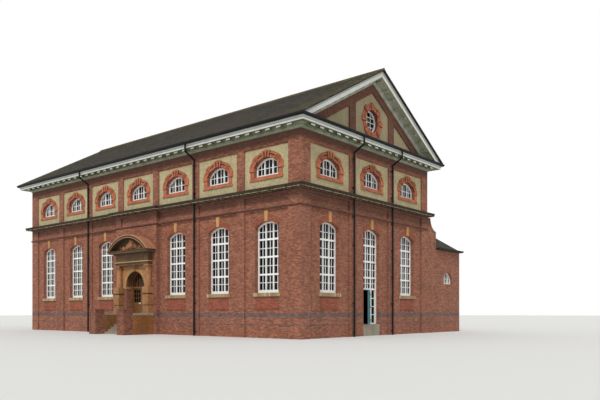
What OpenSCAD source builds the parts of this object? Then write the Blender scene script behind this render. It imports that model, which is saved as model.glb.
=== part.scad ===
// Red-brick engine house: a seven-bay hall of two window storeys under a slate roof with a
// pediment at each end, an arched porch on the long front and a low range along the rear.
// The origin is the middle of the hall floor's underside. +X runs along the entrance front to
// the gable with the small door, -Y is the entrance front, +Z is up. Millimetres.

/* [Hall plan] */
// Distance between the centres of neighbouring bays on the long sides
bay_pitch = 4650; // [4400:10:5000]
// Distance between the centres of the three bays on a gable
gable_pitch = 5050; // [4800:10:5400]
// Width of a pilaster between two bays of a long side
pil_w = 700; // [500:10:850]
// Width of a pilaster between two bays of a gable
gable_pil_w = 750; // [550:10:900]
// Width of a corner pilaster on a long side
corner_w = 1075; // [900:5:1250]
// Width of a corner pilaster on a gable
gable_corner_w = 950; // [800:5:1100]
// Thickness of the brickwork behind the pilasters
wall_t = 460; // [400:10:560]
// How far pilasters and friezes stand in front of the panels
pil_proj = 115; // [80:5:150]

/* [Levels] */
// Top of the hall floor
floor_z = 830; // [600:10:1000]
// Height of the lower storey, up to the string cornice
lower_h = 9520; // [9400:10:9700]
// Height of the frieze between the lower string course and the string cornice
low_frieze_h = 920; // [850:10:1000]
// Height of the thin lower string course
string_low_h = 140; // [100:5:180]
// Height of the string cornice
string_h = 360; // [300:5:400]
// Height of the upper storey between the two cornices
upper_h = 3420; // [3350:10:3550]
// Height of the frieze under the eaves
up_frieze_h = 680; // [600:10:750]
// Height of brickwork between the string cornice and the render
plinth_h = 40; // [30:5:80]
// Height of the eaves cornice up to the foot of the gutter
cornice_h = 450; // [430:10:480]

/* [Cornices and roof] */
// Projection of the string cornice from the pilasters
string_proj = 460; // [380:10:520]
// Projection of the lower string course
string_low_proj = 90; // [60:5:120]
// Projection of the eaves cornice
cornice_proj = 870; // [800:10:920]
// How far the slates stand over the raking cornices
verge_out = 110; // [60:10:140]
// Width of the eaves gutter
gutter_w = 170; // [140:5:200]
// Height of the eaves gutter
gutter_h = 160; // [140:5:180]
// Pitch of the hall roof in degrees
roof_pitch = 29.5; // [28:0.5:32]
// Thickness of slates and boards, square to the slope
roof_t = 80; // [60:5:110]
// Height of the raking cornice, square to the slope
rake_h = 650; // [600:10:680]
// Width of one modillion block
mod_w = 230; // [180:5:260]

/* [Tall windows] */
// Width of a tall window
low_w = 2100; // [2000:10:2250]
// Top of the sill of a tall window
low_sill_z = 2990; // [2900:10:3100]
// Height of the keystone above the crown of a tall window
key_h = 700; // [620:10:800]
// Rise of the segmental head
low_rise = 350; // [300:10:420]
// Thickness of the stone sill
sill_h = 240; // [200:5:280]
// Depth of the gauged brick head above the opening
head_h = 450; // [380:10:480]

/* [Lunette windows] */
// Width of a lunette of the upper storey
up_w = 2180; // [2050:10:2250]
// Height of a lunette's straight jambs
up_jamb_h = 650; // [550:10:700]
// Rise of a lunette head
up_rise = 550; // [450:10:600]
// Width of the block surround
surround_w = 430; // [400:10:500]
// Height of the brick sill of a lunette
up_sill_h = 250; // [200:10:300]
// Centre of the oculus above the underside of the eaves
oculus_up = 2270; // [2150:10:2350]
// Clear diameter of the oculus
oculus_d = 1600; // [1450:10:1700]

/* [Joinery] */
// Width of the outer members of a window frame
frame_w = 95; // [80:5:110]
// Depth of the outer members of a window frame
frame_d = 120; // [90:5:140]
// Set-back of the frames behind the panel face
frame_back = 210; // [100:5:220]
// Set-back of the tall windows' frames behind the panel face
low_back = 290; // [160:5:300]
// Width of the heavy mullions
mullion_w = 90; // [80:5:130]
// Height of the heavy transoms
transom_h = 120; // [90:5:150]
// Depth of mullions and transoms
bar_d = 80; // [60:5:90]
// Thickness of the glass
glass_t = 12; // [8:1:16]

/* [Entrance] */
// Projection of the entrance bay
fp_proj = 200; // [160:10:260]
// Radius of the entrance arch
arch_r = 1220; // [1150:5:1300]
// Springing of the entrance arch
arch_z = 3740; // [3700:10:3800]
// Height of the doorway and of the slabs beside the stair
land_z = 1630; // [1500:10:1750]
// Front of the stair piers, measured from the wall plane
stair_out = 2900; // [2800:10:3050]
// Height of a stair pier under its cap
pier_h = 1880; // [1750:10:1950]
// Depth of a stair pier
pier_d = 850; // [700:10:950]
// Width of a stair pier
pier_w = 850; // [820:10:950]
// Distance of a stair pier's centre from the middle
pier_x = 1870; // [1840:10:1950]
// Going of one step
tread = 270; // [250:5:290]
// Distance of a column's centre from the middle
col_x = 1920; // [1880:10:1990]
// Distance of a column's centre from the wall plane
col_out = 350; // [330:10:400]
// Diameter of a column shaft
col_d = 450; // [400:10:500]
// Width of a column block
block_w = 700; // [600:10:720]
// Underside of the porch entablature
entab_z = 5410; // [5350:10:5500]
// Height of the porch entablature
entab_h = 1170; // [1100:10:1250]
// Crown of the segmental pediment above the entablature
ped_rise = 1230; // [1150:10:1300]

/* [Doors] */
// Height of the entrance door's two leaves
door_h = 2010; // [1950:10:2050]
// Thickness of a door leaf
leaf_t = 50; // [40:2:60]
// Height of the gable door leaf
side_door_h = 2490; // [2300:10:2550]
// Angle at which the gable door stands ajar, in degrees
ajar = 27; // [5:1:60]
// Clearance round a door leaf
door_gap = 5; // [5:1:10]
// Radius of a hinge knuckle
knuckle_r = 12; // [10:1:16]
// Radius of a hinge pin
pin_r = 6; // [5:0.5:8]
// Clearance between hinge pin and knuckle
pin_gap = 0.3; // [0.2:0.05:0.5]

/* [Rear range] */
// Depth of the buttresses between hall and range
link_w = 1500; // [1300:10:1700]
// Width of the rear range
annex_w = 4420; // [4200:10:4700]
// Thickness of the range's walls
annex_t = 345; // [300:5:460]
// Wall head of the range
annex_z = 7000; // [6800:10:7200]
// Pitch of the range's hipped roof
annex_pitch = 37; // [33:0.5:40]
// Overhang of the range's eaves
annex_out = 120; // [90:10:300]
// Width of a rear buttress
butt_w = 950; // [700:10:1100]

/* [Hidden] */

ARC = 128;
EPS = 1;

half_l = 3.5 * bay_pitch - pil_w / 2 + corner_w;
half_w = 1.5 * gable_pitch - gable_pil_w / 2 + gable_corner_w;
full_t = wall_t + pil_proj;
in_l = half_l - full_t;
in_w = half_w - full_t;
bay_panel = bay_pitch - pil_w;
gable_panel = gable_pitch - gable_pil_w;
fp_half = bay_pitch / 2 + pil_w / 2;
fillet_h = 50;
corbel_h = 150;
over_h = 70;
string_z = lower_h;
string_low_z = string_z - low_frieze_h - string_low_h;
eaves_z = string_z + string_h + upper_h;
panel_top_z = eaves_z - up_frieze_h;
panel_bot_z = string_z + string_h + plinth_h;
low_spring_z = string_low_z - fillet_h - key_h - low_rise;
// the lunette and its surround stand a little above the middle of the panel's height
up_total_h = up_sill_h + up_jamb_h + up_rise + surround_w;
up_sill_z = panel_bot_z + 0.63 * (panel_top_z - panel_bot_z - up_total_h) + up_sill_h;
up_spring_z = up_sill_z + up_jamb_h;
oculus_z = eaves_z + oculus_up;

// [turn, distance of the wall plane, bay pitch, panel width, bays]
FRONT = [0, half_w, bay_pitch, bay_panel, [-3, -2, -1, 0, 1, 2, 3]];
REAR = [180, half_w, bay_pitch, bay_panel, [-3, -2, -1, 0, 1, 2, 3]];
EAST = [90, half_l, gable_pitch, gable_panel, [-1, 0, 1]];
WEST = [-90, half_l, gable_pitch, gable_panel, [-1, 0, 1]];
SIDES = [FRONT, REAR, EAST, WEST];
FRONT_WINDOWS = [-3, -2, -1, 1, 2, 3];
EAST_WINDOWS = [-1, 1];

// roof
slope = tan(roof_pitch);
roof_v = roof_t / cos(roof_pitch);
cornice_z = eaves_z + cornice_h;
upstand_t = 40;
upstand_z = cornice_z + gutter_h + 8;
rake_proj = cornice_proj - upstand_t;
eave_out = cornice_proj + 60;
ridge_under = upstand_z + slope * (half_w + cornice_proj);
ridge_z = ridge_under + roof_v;
function under(y) = ridge_under - slope * abs(y);

// entrance
screen_back = 330;
screen_t = 100;
riser_n = 9;
slab_t = 150;
stair_in = pier_x - pier_w / 2;
stair_ext = pier_x + pier_w / 2;
pier_back = stair_out - pier_d;
riser = land_z / riser_n;
board_t = 30;
// steps of the flight: step i has its front edge at step_out(i) and its top at i * riser
function step_out(i) = pier_back - (i - 1) * tread;
fp_out = fp_proj;
col_top = entab_z;

// gable door: the leaf, a post and a fixed side light stand in one opening
side_x0 = -low_w / 2 + frame_w;
low_light_w = (low_w - 2 * frame_w - 2 * mullion_w) / 3;
side_x1 = side_x0 + 2 * low_light_w + mullion_w;
side_door_w = side_x1 - side_x0 - 2 * door_gap;
side_head_z = floor_z + side_door_h + 2 * door_gap;
side_post = mullion_w + 30;
side_face = pil_proj + low_back;
side_axis_x = side_x1 - door_gap / 2;
side_axis_y = side_face - knuckle_r;

// entrance door: two leaves with their hinge lines inside, one on each post
door_x = arch_r - 130;
door_w = door_x - 1.5 * door_gap;
door_face = screen_back + screen_t;
door_axis_x = -door_x + door_gap / 2;
door_axis_y = door_face + knuckle_r;
door_head_z = land_z + door_h + 2 * door_gap;

// downpipes
pipe_r = 65;
pipe_out = 130;
neck_out = cornice_proj + gutter_w / 2;

// rear range
range_in = half_w + link_w;
range_out = range_in + annex_w;
range_slope = tan(annex_pitch);
range_mid = (range_in + range_out + annex_out) / 2;
range_rise = (range_out + annex_out - range_in) / 2 * range_slope;
range_win_w = 1650;
range_win_z = 4130;
range_win_spring = 4560;
range_win_rise = 580;

// helpers
function arc_r(w, rise) = (w * w / 4 + rise * rise) / (2 * rise);
module on(s) rotate([0, 0, s[0]]) translate([0, -s[1], 0]) children();
module at_bays(s, bays) on(s) for (b = bays) translate([b * s[2], 0, 0]) children();
// a flat shape drawn in elevation, from depth y0 to y0 + t behind the wall plane
module slab(y0, t) translate([0, y0 + t, 0]) rotate([90, 0, 0]) linear_extrude(height = t) children();
module rect(x0, x1, z0, z1) translate([x0, z0]) square([x1 - x0, z1 - z0]);
module block(x0, x1, y0, y1, z0, z1) translate([x0, y0, z0]) cube([x1 - x0, y1 - y0, z1 - z0]);
// an opening with a segmental head, made smaller all round by inset
module arch2d(w, z0, zs, rise, inset = 0) {
  r = arc_r(w, rise);
  zc = zs + rise - r;
  intersection() {
    rect(-w / 2 + inset, w / 2 - inset, z0 + inset, zs + rise - inset);
    union() {
      translate([0, zc]) circle(r = r - inset, $fn = ARC);
      rect(-w / 2, w / 2, z0 - EPS, max(zc, z0));
    }
  }
}
// a moulding along +X on the wall plane; m0 and m1 are 1 for an outside mitre, -1 for an
// inside mitre and 0 for a square end; the profile is [projection, height]
module moulding(prof, len, p, m0 = 0, m1 = 0) {
  zs = [for (q = prof) q[1]];
  intersection() {
    translate([-p, 0, 0]) rotate([90, 0, 90])
      linear_extrude(height = len + 2 * p) polygon([for (q = prof) [-q[0], q[1]]]);
    translate([0, 0, min(zs) - EPS]) linear_extrude(height = max(zs) - min(zs) + 2 * EPS)
      polygon([[0, 0], [len, 0], [len + m1 * p, -p], [-m0 * p, -p]]);
  }
}

// walls
module low_hole(w = low_w) slab(-EPS, full_t + 2 * EPS) arch2d(w, low_sill_z, low_spring_z, low_rise);
sill_ext = 170;
module sill_block(y0) {
  block(-low_w / 2 - sill_ext, low_w / 2 + sill_ext, y0, pil_proj + low_back, low_sill_z - sill_h, low_sill_z);
  block(-low_w / 2, low_w / 2, pil_proj, full_t - 60, low_sill_z - sill_h, low_sill_z);
}
module sill_cut() {
  block(-low_w / 2 - sill_ext, low_w / 2 + sill_ext, pil_proj - EPS, pil_proj + low_back, low_sill_z - sill_h, low_sill_z);
  block(-low_w / 2, low_w / 2, pil_proj, full_t - 60, low_sill_z - sill_h, low_sill_z + EPS);
}
module low_recess(pw, from = -EPS)
  for (z = [[from, string_low_z - fillet_h], [string_low_z + string_low_h + fillet_h, string_z - corbel_h]])
    block(-pw / 2, pw / 2, -EPS, pil_proj, z[0], z[1]);
module lower_wall(s, x0, x1, bays, windows) on(s) difference() {
  slab(0, full_t) rect(x0, x1, 0, string_z);
  for (b = bays) translate([b * s[2], 0, 0]) low_recess(s[3]);
  for (b = windows) translate([b * s[2], 0, 0]) { low_hole(); sill_cut(); }
}
module up_hole() slab(-EPS, full_t + 2 * EPS) arch2d(up_w, up_sill_z, up_spring_z, up_rise);
module upper_wall(s, hl, top) on(s) difference() {
  slab(0, full_t) rect(-hl, hl, string_z, top);
  for (b = s[4]) translate([b * s[2], 0, 0]) {
    block(-s[3] / 2, s[3] / 2, -EPS, pil_proj, panel_bot_z, panel_top_z - over_h);
    // an oversailing course closes the panel under the frieze
    block(-s[3] / 2, s[3] / 2, -EPS, pil_proj / 2, panel_bot_z, panel_top_z);
    up_hole();
  }
}
module wall_head(s) on(s) rotate([90, 0, 90]) translate([0, 0, -half_l])
  linear_extrude(height = 2 * half_l)
    polygon([[0, eaves_z], [full_t, eaves_z], [full_t, under(in_w)], [0, under(half_w)]]);

module ground_floors() color("gray") {
  block(-in_l, in_l, -in_w, in_w, 0, floor_z);
  block(-half_l + annex_t, half_l - annex_t, range_in + annex_t, range_out - annex_t, 0, 300);
}
module front_wall_lower() color("firebrick") {
  lower_wall(FRONT, -half_l, -fp_half, [-3, -2, -1], [-3, -2, -1]);
  lower_wall(FRONT, fp_half, half_l, [1, 2, 3], [1, 2, 3]);
}
module rear_wall_lower() color("firebrick") on(REAR) difference() {
  slab(0, full_t) rect(-half_l, half_l, 0, string_z);
  for (b = REAR[4]) translate([b * bay_pitch, 0, 0])
    block(-bay_panel / 2, bay_panel / 2, -EPS, pil_proj, string_low_z + string_low_h + fillet_h,
      string_z - corbel_h);
}
module west_wall_lower() color("firebrick") lower_wall(WEST, -in_w, in_w, [-1, 0, 1], [-1, 0, 1]);
module east_wall_sides() color("firebrick") {
  lower_wall(EAST, -in_w, -low_w / 2, [-1, 0], [-1]);
  lower_wall(EAST, low_w / 2, in_w, [0, 1], [1]);
}
module east_wall_head() color("firebrick") on(EAST) difference() {
  slab(0, full_t) rect(-low_w / 2, low_w / 2, low_spring_z - 200, string_z);
  low_recess(gable_panel);
  slab(-EPS, full_t + 2 * EPS) arch2d(low_w, floor_z, low_spring_z, low_rise);
}
module doorway_thresholds() {
  color("silver") on(EAST) block(-low_w / 2, low_w / 2, pil_proj, full_t, 0, floor_z);
  color("silver") on(FRONT) flight(arch_r, -full_t, fp_out);
}
module front_wall_upper() color("firebrick") { upper_wall(FRONT, half_l, eaves_z); wall_head(FRONT); }
module rear_wall_upper() color("firebrick") { upper_wall(REAR, half_l, eaves_z); wall_head(REAR); }
module gable_walls_upper() color("firebrick") {
  upper_wall(EAST, in_w, eaves_z);
  upper_wall(WEST, in_w, eaves_z);
}
// the sunk panels of a pediment: a triangle parted by two pilasters
ped_z0 = cornice_z + 330;
ped_apex = ridge_under - rake_h - 760;
module ped_panels2d() difference() {
  polygon([[-(ped_apex - ped_z0) / slope, ped_z0], [(ped_apex - ped_z0) / slope, ped_z0], [0, ped_apex]]);
  for (m = [-1, 1]) translate([m * gable_pitch / 2, 0])
    rect(-gable_pil_w / 2, gable_pil_w / 2, ped_z0 - EPS, ridge_z);
}
module oculus2d(d) translate([0, oculus_z]) circle(d = d, $fn = ARC);
module pediment_wall(s) on(s) difference() {
  slab(0, full_t) polygon([[-in_w, eaves_z], [in_w, eaves_z], [in_w, under(in_w)], [0, ridge_under],
    [-in_w, under(in_w)]]);
  slab(-EPS, pil_proj + EPS) ped_panels2d();
  slab(-EPS, full_t + 2 * EPS) oculus2d(oculus_d);
}
module pediment_walls() color("firebrick") { pediment_wall(EAST); pediment_wall(WEST); }

// entrance bay
module entrance_wall_sides() color("firebrick") on(FRONT) for (m = [-1, 1]) difference() {
  block(m > 0 ? arch_r : -fp_half, m > 0 ? fp_half : -arch_r, -fp_out, full_t, 0, string_z);
  translate([0, -fp_out, 0]) block(-bay_panel / 2, bay_panel / 2, -EPS, pil_proj,
    string_low_z + string_low_h + fillet_h, string_z - corbel_h);
}
module entrance_wall_head() color("firebrick") on(FRONT) difference() {
  block(-arch_r, arch_r, -fp_out, full_t, entab_z, string_z);
  translate([0, -fp_out, 0]) block(-bay_panel / 2, bay_panel / 2, -EPS, pil_proj,
    string_low_z + string_low_h + fillet_h, string_z - corbel_h);
}
module porch_arch() color("peru") on(FRONT) difference() {
  union() {
    block(-arch_r, arch_r, -fp_out, full_t, arch_z, entab_z);
    slab(-fp_out - 60, 60) intersection() {
      translate([0, arch_z]) circle(r = arch_r + 250, $fn = ARC);
      rect(-arch_r - 250, arch_r + 250, arch_z, entab_z);
    }
    // stone panel between the columns
    slab(-fp_out - panel_t, panel_t) difference() {
      rect(-entab_hw, entab_hw, land_z + blocks_top, entab_z);
      rect(-arch_r, arch_r, land_z, arch_z);
    }
    // keystone
    slab(-fp_out - 160, 160) polygon([[-130, arch_z + arch_r], [130, arch_z + arch_r],
      [190, entab_z], [-190, entab_z]]);
  }
  slab(-fp_out - 300, full_t + fp_out + 400) translate([0, arch_z]) circle(r = arch_r, $fn = ARC);
}

// cornices
STRING = [[0, 0], [60, 0], [70, 30], [110, 40], [110, 60], [string_proj - 130, 70],
  [string_proj - 130, 55], [string_proj - 40, 55], [string_proj - 40, 170], [string_proj - 15, 190],
  [string_proj, 240], [string_proj, string_h - 60], [0, string_h]];
LOWSTRING = [[0, 0], [string_low_proj * 0.4, 0], [string_low_proj, string_low_h * 0.4],
  [string_low_proj, string_low_h * 0.75], [0, string_low_h]];
module string_run(len, m0, m1) translate([0, 0, string_z]) moulding(STRING, len, string_proj, m0, m1);
module low_run(len, m0, m1) translate([0, 0, string_low_z]) moulding(LOWSTRING, len, string_low_proj, m0, m1);
module pipe_holes() for (p = PIPES) on(p[0]) translate([p[1], -pipe_out, string_low_z - 200])
  cylinder(r = pipe_r + 3, h = string_z + string_h - string_low_z + 400, $fn = 48);
PIPES = [[FRONT, -1.5 * bay_pitch], [FRONT, 1.5 * bay_pitch], [REAR, -1.5 * bay_pitch],
  [REAR, 1.5 * bay_pitch], [EAST, -gable_pitch / 2], [EAST, gable_pitch / 2],
  [WEST, -gable_pitch / 2], [WEST, gable_pitch / 2]];
module break_out(run_p) {
  // the string breaks forward round the entrance bay
  translate([-fp_half, -fp_out, 0]) children(0);
  translate([fp_half, -fp_out, 0]) rotate([0, 0, 90]) children(1);
  translate([-fp_half, 0, 0]) rotate([0, 0, -90]) children(2);
}
module lower_string_course() color("tan") difference() {
  union() {
    on(FRONT) {
      translate([-half_l, 0, 0]) low_run(half_l - fp_half, 1, -1);
      translate([fp_half, 0, 0]) low_run(half_l - fp_half, -1, 1);
      break_out() { low_run(2 * fp_half, 1, 1); low_run(fp_out, 1, -1); low_run(fp_out, -1, 1); }
    }
    for (s = [EAST, WEST]) on(s) translate([-half_w, 0, 0]) low_run(2 * half_w, 1, 1);
  }
  pipe_holes();
  on(REAR) block(-half_l - 200, half_l + 200, -500, 0, string_low_z - 10, string_low_z + string_low_h + 10);
}
module side_string_cornices() color("tan") difference() {
  union() {
    on(FRONT) {
      translate([-half_l, 0, 0]) string_run(half_l - fp_half, 1, -1);
      translate([fp_half, 0, 0]) string_run(half_l - fp_half, -1, 1);
    }
    on(REAR) translate([-half_l, 0, 0]) string_run(2 * half_l, 1, 1);
  }
  pipe_holes();
}
module entrance_string_cornice() color("tan") on(FRONT)
  break_out() { string_run(2 * fp_half, 1, 1); string_run(fp_out, 1, -1); string_run(fp_out, -1, 1); }
module gable_string_cornices() color("tan") difference() {
  for (s = [EAST, WEST]) on(s) translate([-half_w, 0, 0]) string_run(2 * half_w, 1, 1);
  pipe_holes();
}
EAVES = [[0, 0], [50, 0], [60, 70], [130, 130], [130, 235], [cornice_proj - 150, 235],
  [cornice_proj - 150, 205], [cornice_proj - 80, 205], [cornice_proj - 80, 330],
  [cornice_proj - 60, 340], [cornice_proj, cornice_h - 20], [cornice_proj, upstand_z - eaves_z],
  [cornice_proj - upstand_t, upstand_z - eaves_z], [cornice_proj - upstand_t, cornice_h], [0, cornice_h]];
module modillions(len, n) for (i = [0:n - 1])
  translate([len * (i + 0.5) / n - mod_w / 2, -cornice_proj + 270, eaves_z + 110]) cube([mod_w, cornice_proj - 270 - 70, 135]);
module eaves_run(s, hl, n) on(s) translate([-hl, 0, 0]) {
  translate([0, 0, eaves_z]) moulding(EAVES, 2 * hl, cornice_proj, 1, 1);
  modillions(2 * hl, n);
}
module eaves_fill(s) on(s) translate([-half_l, 0, 0]) rotate([90, 0, 90])
  linear_extrude(height = 2 * half_l) polygon([[0, cornice_z], [0, under(half_w)],
    [-rake_proj, under(half_w + rake_proj)], [-rake_proj, cornice_z]]);
mod_long = round(2 * half_l / (bay_pitch / 5));
mod_gable = round(2 * half_w / (bay_pitch / 5));
module side_eaves_cornices() color("white") for (s = [FRONT, REAR]) {
  eaves_run(s, half_l, mod_long);
  eaves_fill(s);
}
module gable_eaves_cornices() color("white") for (s = [EAST, WEST]) eaves_run(s, half_w, mod_gable);

// raking cornices, hung under the slope from the roof's underside
// depth of the soffit below the slates
rake_soffit = 350;
RAKE = [[0, -rake_h], [50, -rake_h], [60, -rake_h + 60], [130, -rake_h + 130], [130, -rake_soffit],
  [rake_proj - 110, -rake_soffit], [rake_proj - 110, -rake_soffit - 20], [rake_proj - 40, -rake_soffit - 20],
  [rake_proj - 40, -130], [rake_proj - 20, -115], [rake_proj, -60], [rake_proj, 0], [0, 0]];
rake_len = (half_w + rake_proj) / cos(roof_pitch);
mod_rake = round(rake_len / (bay_pitch / 5));
module rake_half(s, m) on(s) intersection() {
  mirror([m < 0 ? 1 : 0, 0, 0]) translate([0, 0, ridge_under]) rotate([0, roof_pitch, 0]) {
    translate([-600, 0, 0]) rotate([90, 0, 90]) linear_extrude(height = rake_len + 1200)
      polygon([for (q = RAKE) [-q[0], q[1]]]);
    for (i = [0:mod_rake - 1]) translate([rake_len * (i + 0.6) / mod_rake - mod_w / 2, -rake_proj + 230, -rake_soffit - 120])
      cube([mod_w, rake_proj - 230 - 70, 130]);
  }
  block(m > 0 ? 0 : -half_w - rake_proj, m > 0 ? half_w + rake_proj : 0, -cornice_proj, 0,
    cornice_z, ridge_z);
}
module front_raking_cornices() color("white") { rake_half(EAST, -1); rake_half(WEST, 1); }
module rear_raking_cornices() color("white") { rake_half(EAST, 1); rake_half(WEST, -1); }

// roof
verge = half_l + cornice_proj + verge_out;
module roof_slope(m) translate([-verge, 0, 0]) rotate([90, 0, 90]) linear_extrude(height = 2 * verge)
  polygon([[0, ridge_under], [0, ridge_z], [m * (half_w + eave_out), under(half_w + eave_out) + roof_v],
    [m * (half_w + eave_out), under(half_w + eave_out)]]);
module front_roof_slope() color("darkslategray") roof_slope(-1);
module rear_roof_slope() color("darkslategray") roof_slope(1);
ridge_w = 230;
module ridge_tiles() color("dimgray") translate([-verge, 0, 0.5]) rotate([90, 0, 90])
  linear_extrude(height = 2 * verge) union() {
    polygon([[0, ridge_z], [ridge_w, ridge_z - slope * ridge_w], [ridge_w, ridge_z - slope * ridge_w + 35],
      [0, ridge_z + 35], [-ridge_w, ridge_z - slope * ridge_w + 35], [-ridge_w, ridge_z - slope * ridge_w]]);
    translate([0, ridge_z + 50]) circle(r = 45, $fn = 48);
  }

// gutters and downpipes
module gutter_run(len, z, out, m0 = 1, m1 = 1) translate([0, -out, z]) {
  w = gutter_w; h = gutter_h;
  moulding([[0, h], [0, 20], [20, 0], [w * 0.6, 0], [w, h * 0.45], [w, h], [w - 12, h],
    [w - 12, h * 0.45 + 6], [w * 0.6 - 6, 12], [25, 12], [12, 25], [12, h]], len, w, m0, m1);
}
// eaves gutter of the rear range
range_gz = annex_z;
module side_gutters() color("black") {
  for (s = [FRONT, REAR]) on(s) translate([-half_l - cornice_proj, 0, 0])
    gutter_run(2 * (half_l + cornice_proj), cornice_z, cornice_proj);
  on([180, range_out]) translate([-half_l - annex_out, 0, 0])
    gutter_run(2 * (half_l + annex_out), range_gz, annex_out);
}
module gable_gutters() color("black") {
  for (s = [EAST, WEST]) on(s) translate([-half_w - cornice_proj, 0, 0])
    gutter_run(2 * (half_w + cornice_proj), cornice_z, cornice_proj);
  rotate([0, 0, 90]) translate([range_in, -half_l, 0]) gutter_run(annex_w + annex_out, range_gz, annex_out, 0, 1);
  rotate([0, 0, -90]) translate([-range_out - annex_out, -half_l, 0])
    gutter_run(annex_w + annex_out, range_gz, annex_out, 1, 0);
}
module pipe_between(a, b, r) {
  d = b - a;
  l = norm(d);
  translate(a) rotate([0, acos(d[2] / l), atan2(d[1], d[0])]) cylinder(r = r, h = l, $fn = 48);
}
neck_z = eaves_z - 40;
foot_z = eaves_z - 520;
module downpipe(z0 = 0) {
  elbow = pipe_r + 12;
  translate([0, -pipe_out, z0]) cylinder(r = pipe_r, h = foot_z - z0, $fn = 48);
  translate([0, -pipe_out, foot_z]) sphere(r = elbow, $fn = 48);
  pipe_between([0, -pipe_out, foot_z], [0, -neck_out, neck_z], pipe_r);
  translate([0, -neck_out, neck_z]) sphere(r = elbow, $fn = 48);
  translate([0, -neck_out, neck_z]) cylinder(r = pipe_r, h = cornice_z - neck_z, $fn = 48);
  for (i = [0:6]) if (z0 < 300 + i * 2000) translate([0, 0, 300 + i * 2000]) {
    translate([0, -pipe_out, 0]) cylinder(r = pipe_r + 18, h = 90, $fn = 48);
    block(-90, 90, -pipe_out, 0, 20, 60);
  }
}
module downpipes() color("black") {
  for (p = PIPES) on(p[0]) translate([p[1], 0, 0]) downpipe(p[0] == REAR ? annex_z - 80 : 0);
}

// window joinery
// the two mullions that part a tall window into three lights
module low_mullions(z0) for (m = [-1, 1]) translate([m * (low_light_w + mullion_w) / 2, 0])
  rect(-mullion_w / 2, mullion_w / 2, z0, low_spring_z + low_rise);
module low_frame() {
  slab(pil_proj + low_back, frame_d) difference() {
    arch2d(low_w, low_sill_z, low_spring_z, low_rise);
    arch2d(low_w, low_sill_z, low_spring_z, low_rise, frame_w);
  }
  slab(pil_proj + low_back, bar_d) intersection() {
    arch2d(low_w, low_sill_z, low_spring_z, low_rise, frame_w - 10);
    union() {
      low_mullions(low_sill_z);
      low_transoms();
      rect(-low_w / 2, low_w / 2, low_sill_z, low_sill_z + low_rail_h);
    }
  }
}
// the bottom rail is deep, so the lowest light is taller than the other three
low_rail_h = 200;
low_base = 60;
low_light = (low_spring_z + low_rise - low_sill_z - low_base) / 4;
module low_transoms() for (i = [1:3]) translate([0, low_sill_z + low_base + i * low_light])
  rect(-low_w / 2, low_w / 2, -transom_h / 2, transom_h / 2);
module low_glass() slab(pil_proj + low_back + bar_d, glass_t)
  arch2d(low_w, low_sill_z, low_spring_z, low_rise, frame_w);
module lower_window_frames() color("white") {
  at_bays(FRONT, FRONT_WINDOWS) low_frame();
  at_bays(EAST, EAST_WINDOWS) low_frame();
  at_bays(WEST, WEST[4]) low_frame();
  range_windows() range_frame();
}
module up_frame() {
  slab(pil_proj + frame_back, frame_d) difference() {
    arch2d(up_w, up_sill_z, up_spring_z, up_rise);
    arch2d(up_w, up_sill_z, up_spring_z, up_rise, frame_w);
  }
  slab(pil_proj + frame_back, bar_d) intersection() {
    arch2d(up_w, up_sill_z, up_spring_z, up_rise, frame_w - 10);
    union() {
      for (m = [-1, 1]) translate([m * up_w / 6, 0])
        rect(-mullion_w / 2, mullion_w / 2, up_sill_z, up_spring_z + up_rise);
      rect(-up_w / 2, up_w / 2, up_sill_z, up_sill_z + 140);
    }
  }
}
module oculus_frame() {
  slab(pil_proj + frame_back, frame_d) difference() {
    oculus2d(oculus_d);
    oculus2d(oculus_d - 2 * frame_w);
  }
}
module upper_window_frames() color("white") {
  for (s = SIDES) at_bays(s, s[4]) up_frame();
  for (s = [EAST, WEST]) on(s) oculus_frame();
}
module upper_window_glass() color("lightblue") {
  for (s = SIDES) at_bays(s, s[4]) slab(pil_proj + frame_back + bar_d, glass_t)
    arch2d(up_w, up_sill_z, up_spring_z, up_rise, frame_w);
  for (s = [EAST, WEST]) on(s) slab(pil_proj + frame_back + bar_d, glass_t) oculus2d(oculus_d - 2 * frame_w);
}
module lower_window_glass() color("lightblue") {
  at_bays(FRONT, FRONT_WINDOWS) low_glass();
  at_bays(EAST, EAST_WINDOWS) low_glass();
  at_bays(WEST, WEST[4]) low_glass();
  range_windows() slab(frame_back + bar_d, glass_t)
    arch2d(range_win_w, range_win_z, range_win_spring, range_win_rise, frame_w);
  on(EAST) {
    slab(side_face + bar_d, glass_t) intersection() {
      arch2d(low_w, low_sill_z, low_spring_z, low_rise, frame_w);
      rect(-low_w, low_w, side_head_z + transom_h, low_spring_z + low_rise);
    }
    slab(side_face + bar_d, glass_t) rect(side_x1 + side_post, low_w / 2 - frame_w - 80, floor_z + frame_w, side_head_z);
  }
  on(FRONT) slab(screen_back + 40, glass_t) intersection() {
    translate([0, arch_z]) circle(r = arch_r - 90, $fn = ARC);
    rect(-arch_r, arch_r, door_head_z + 100, arch_z + arch_r);
  }
}

// dressings of the windows
// outline of a lunette's surround: sill, jambs and a ring round the head
up_r = arc_r(up_w, up_rise);
up_zc = up_spring_z + up_rise - up_r;
module surround2d() union() {
  rect(-up_w / 2 - surround_w * 0.8, up_w / 2 + surround_w * 0.8, up_sill_z - up_sill_h, up_spring_z);
  intersection() {
    translate([0, up_zc]) circle(r = up_r + surround_w, $fn = ARC);
    rect(-up_w / 2 - surround_w, up_w / 2 + surround_w, up_sill_z + up_jamb_h * 0.55, up_spring_z + up_rise + surround_w);
  }
}
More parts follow.
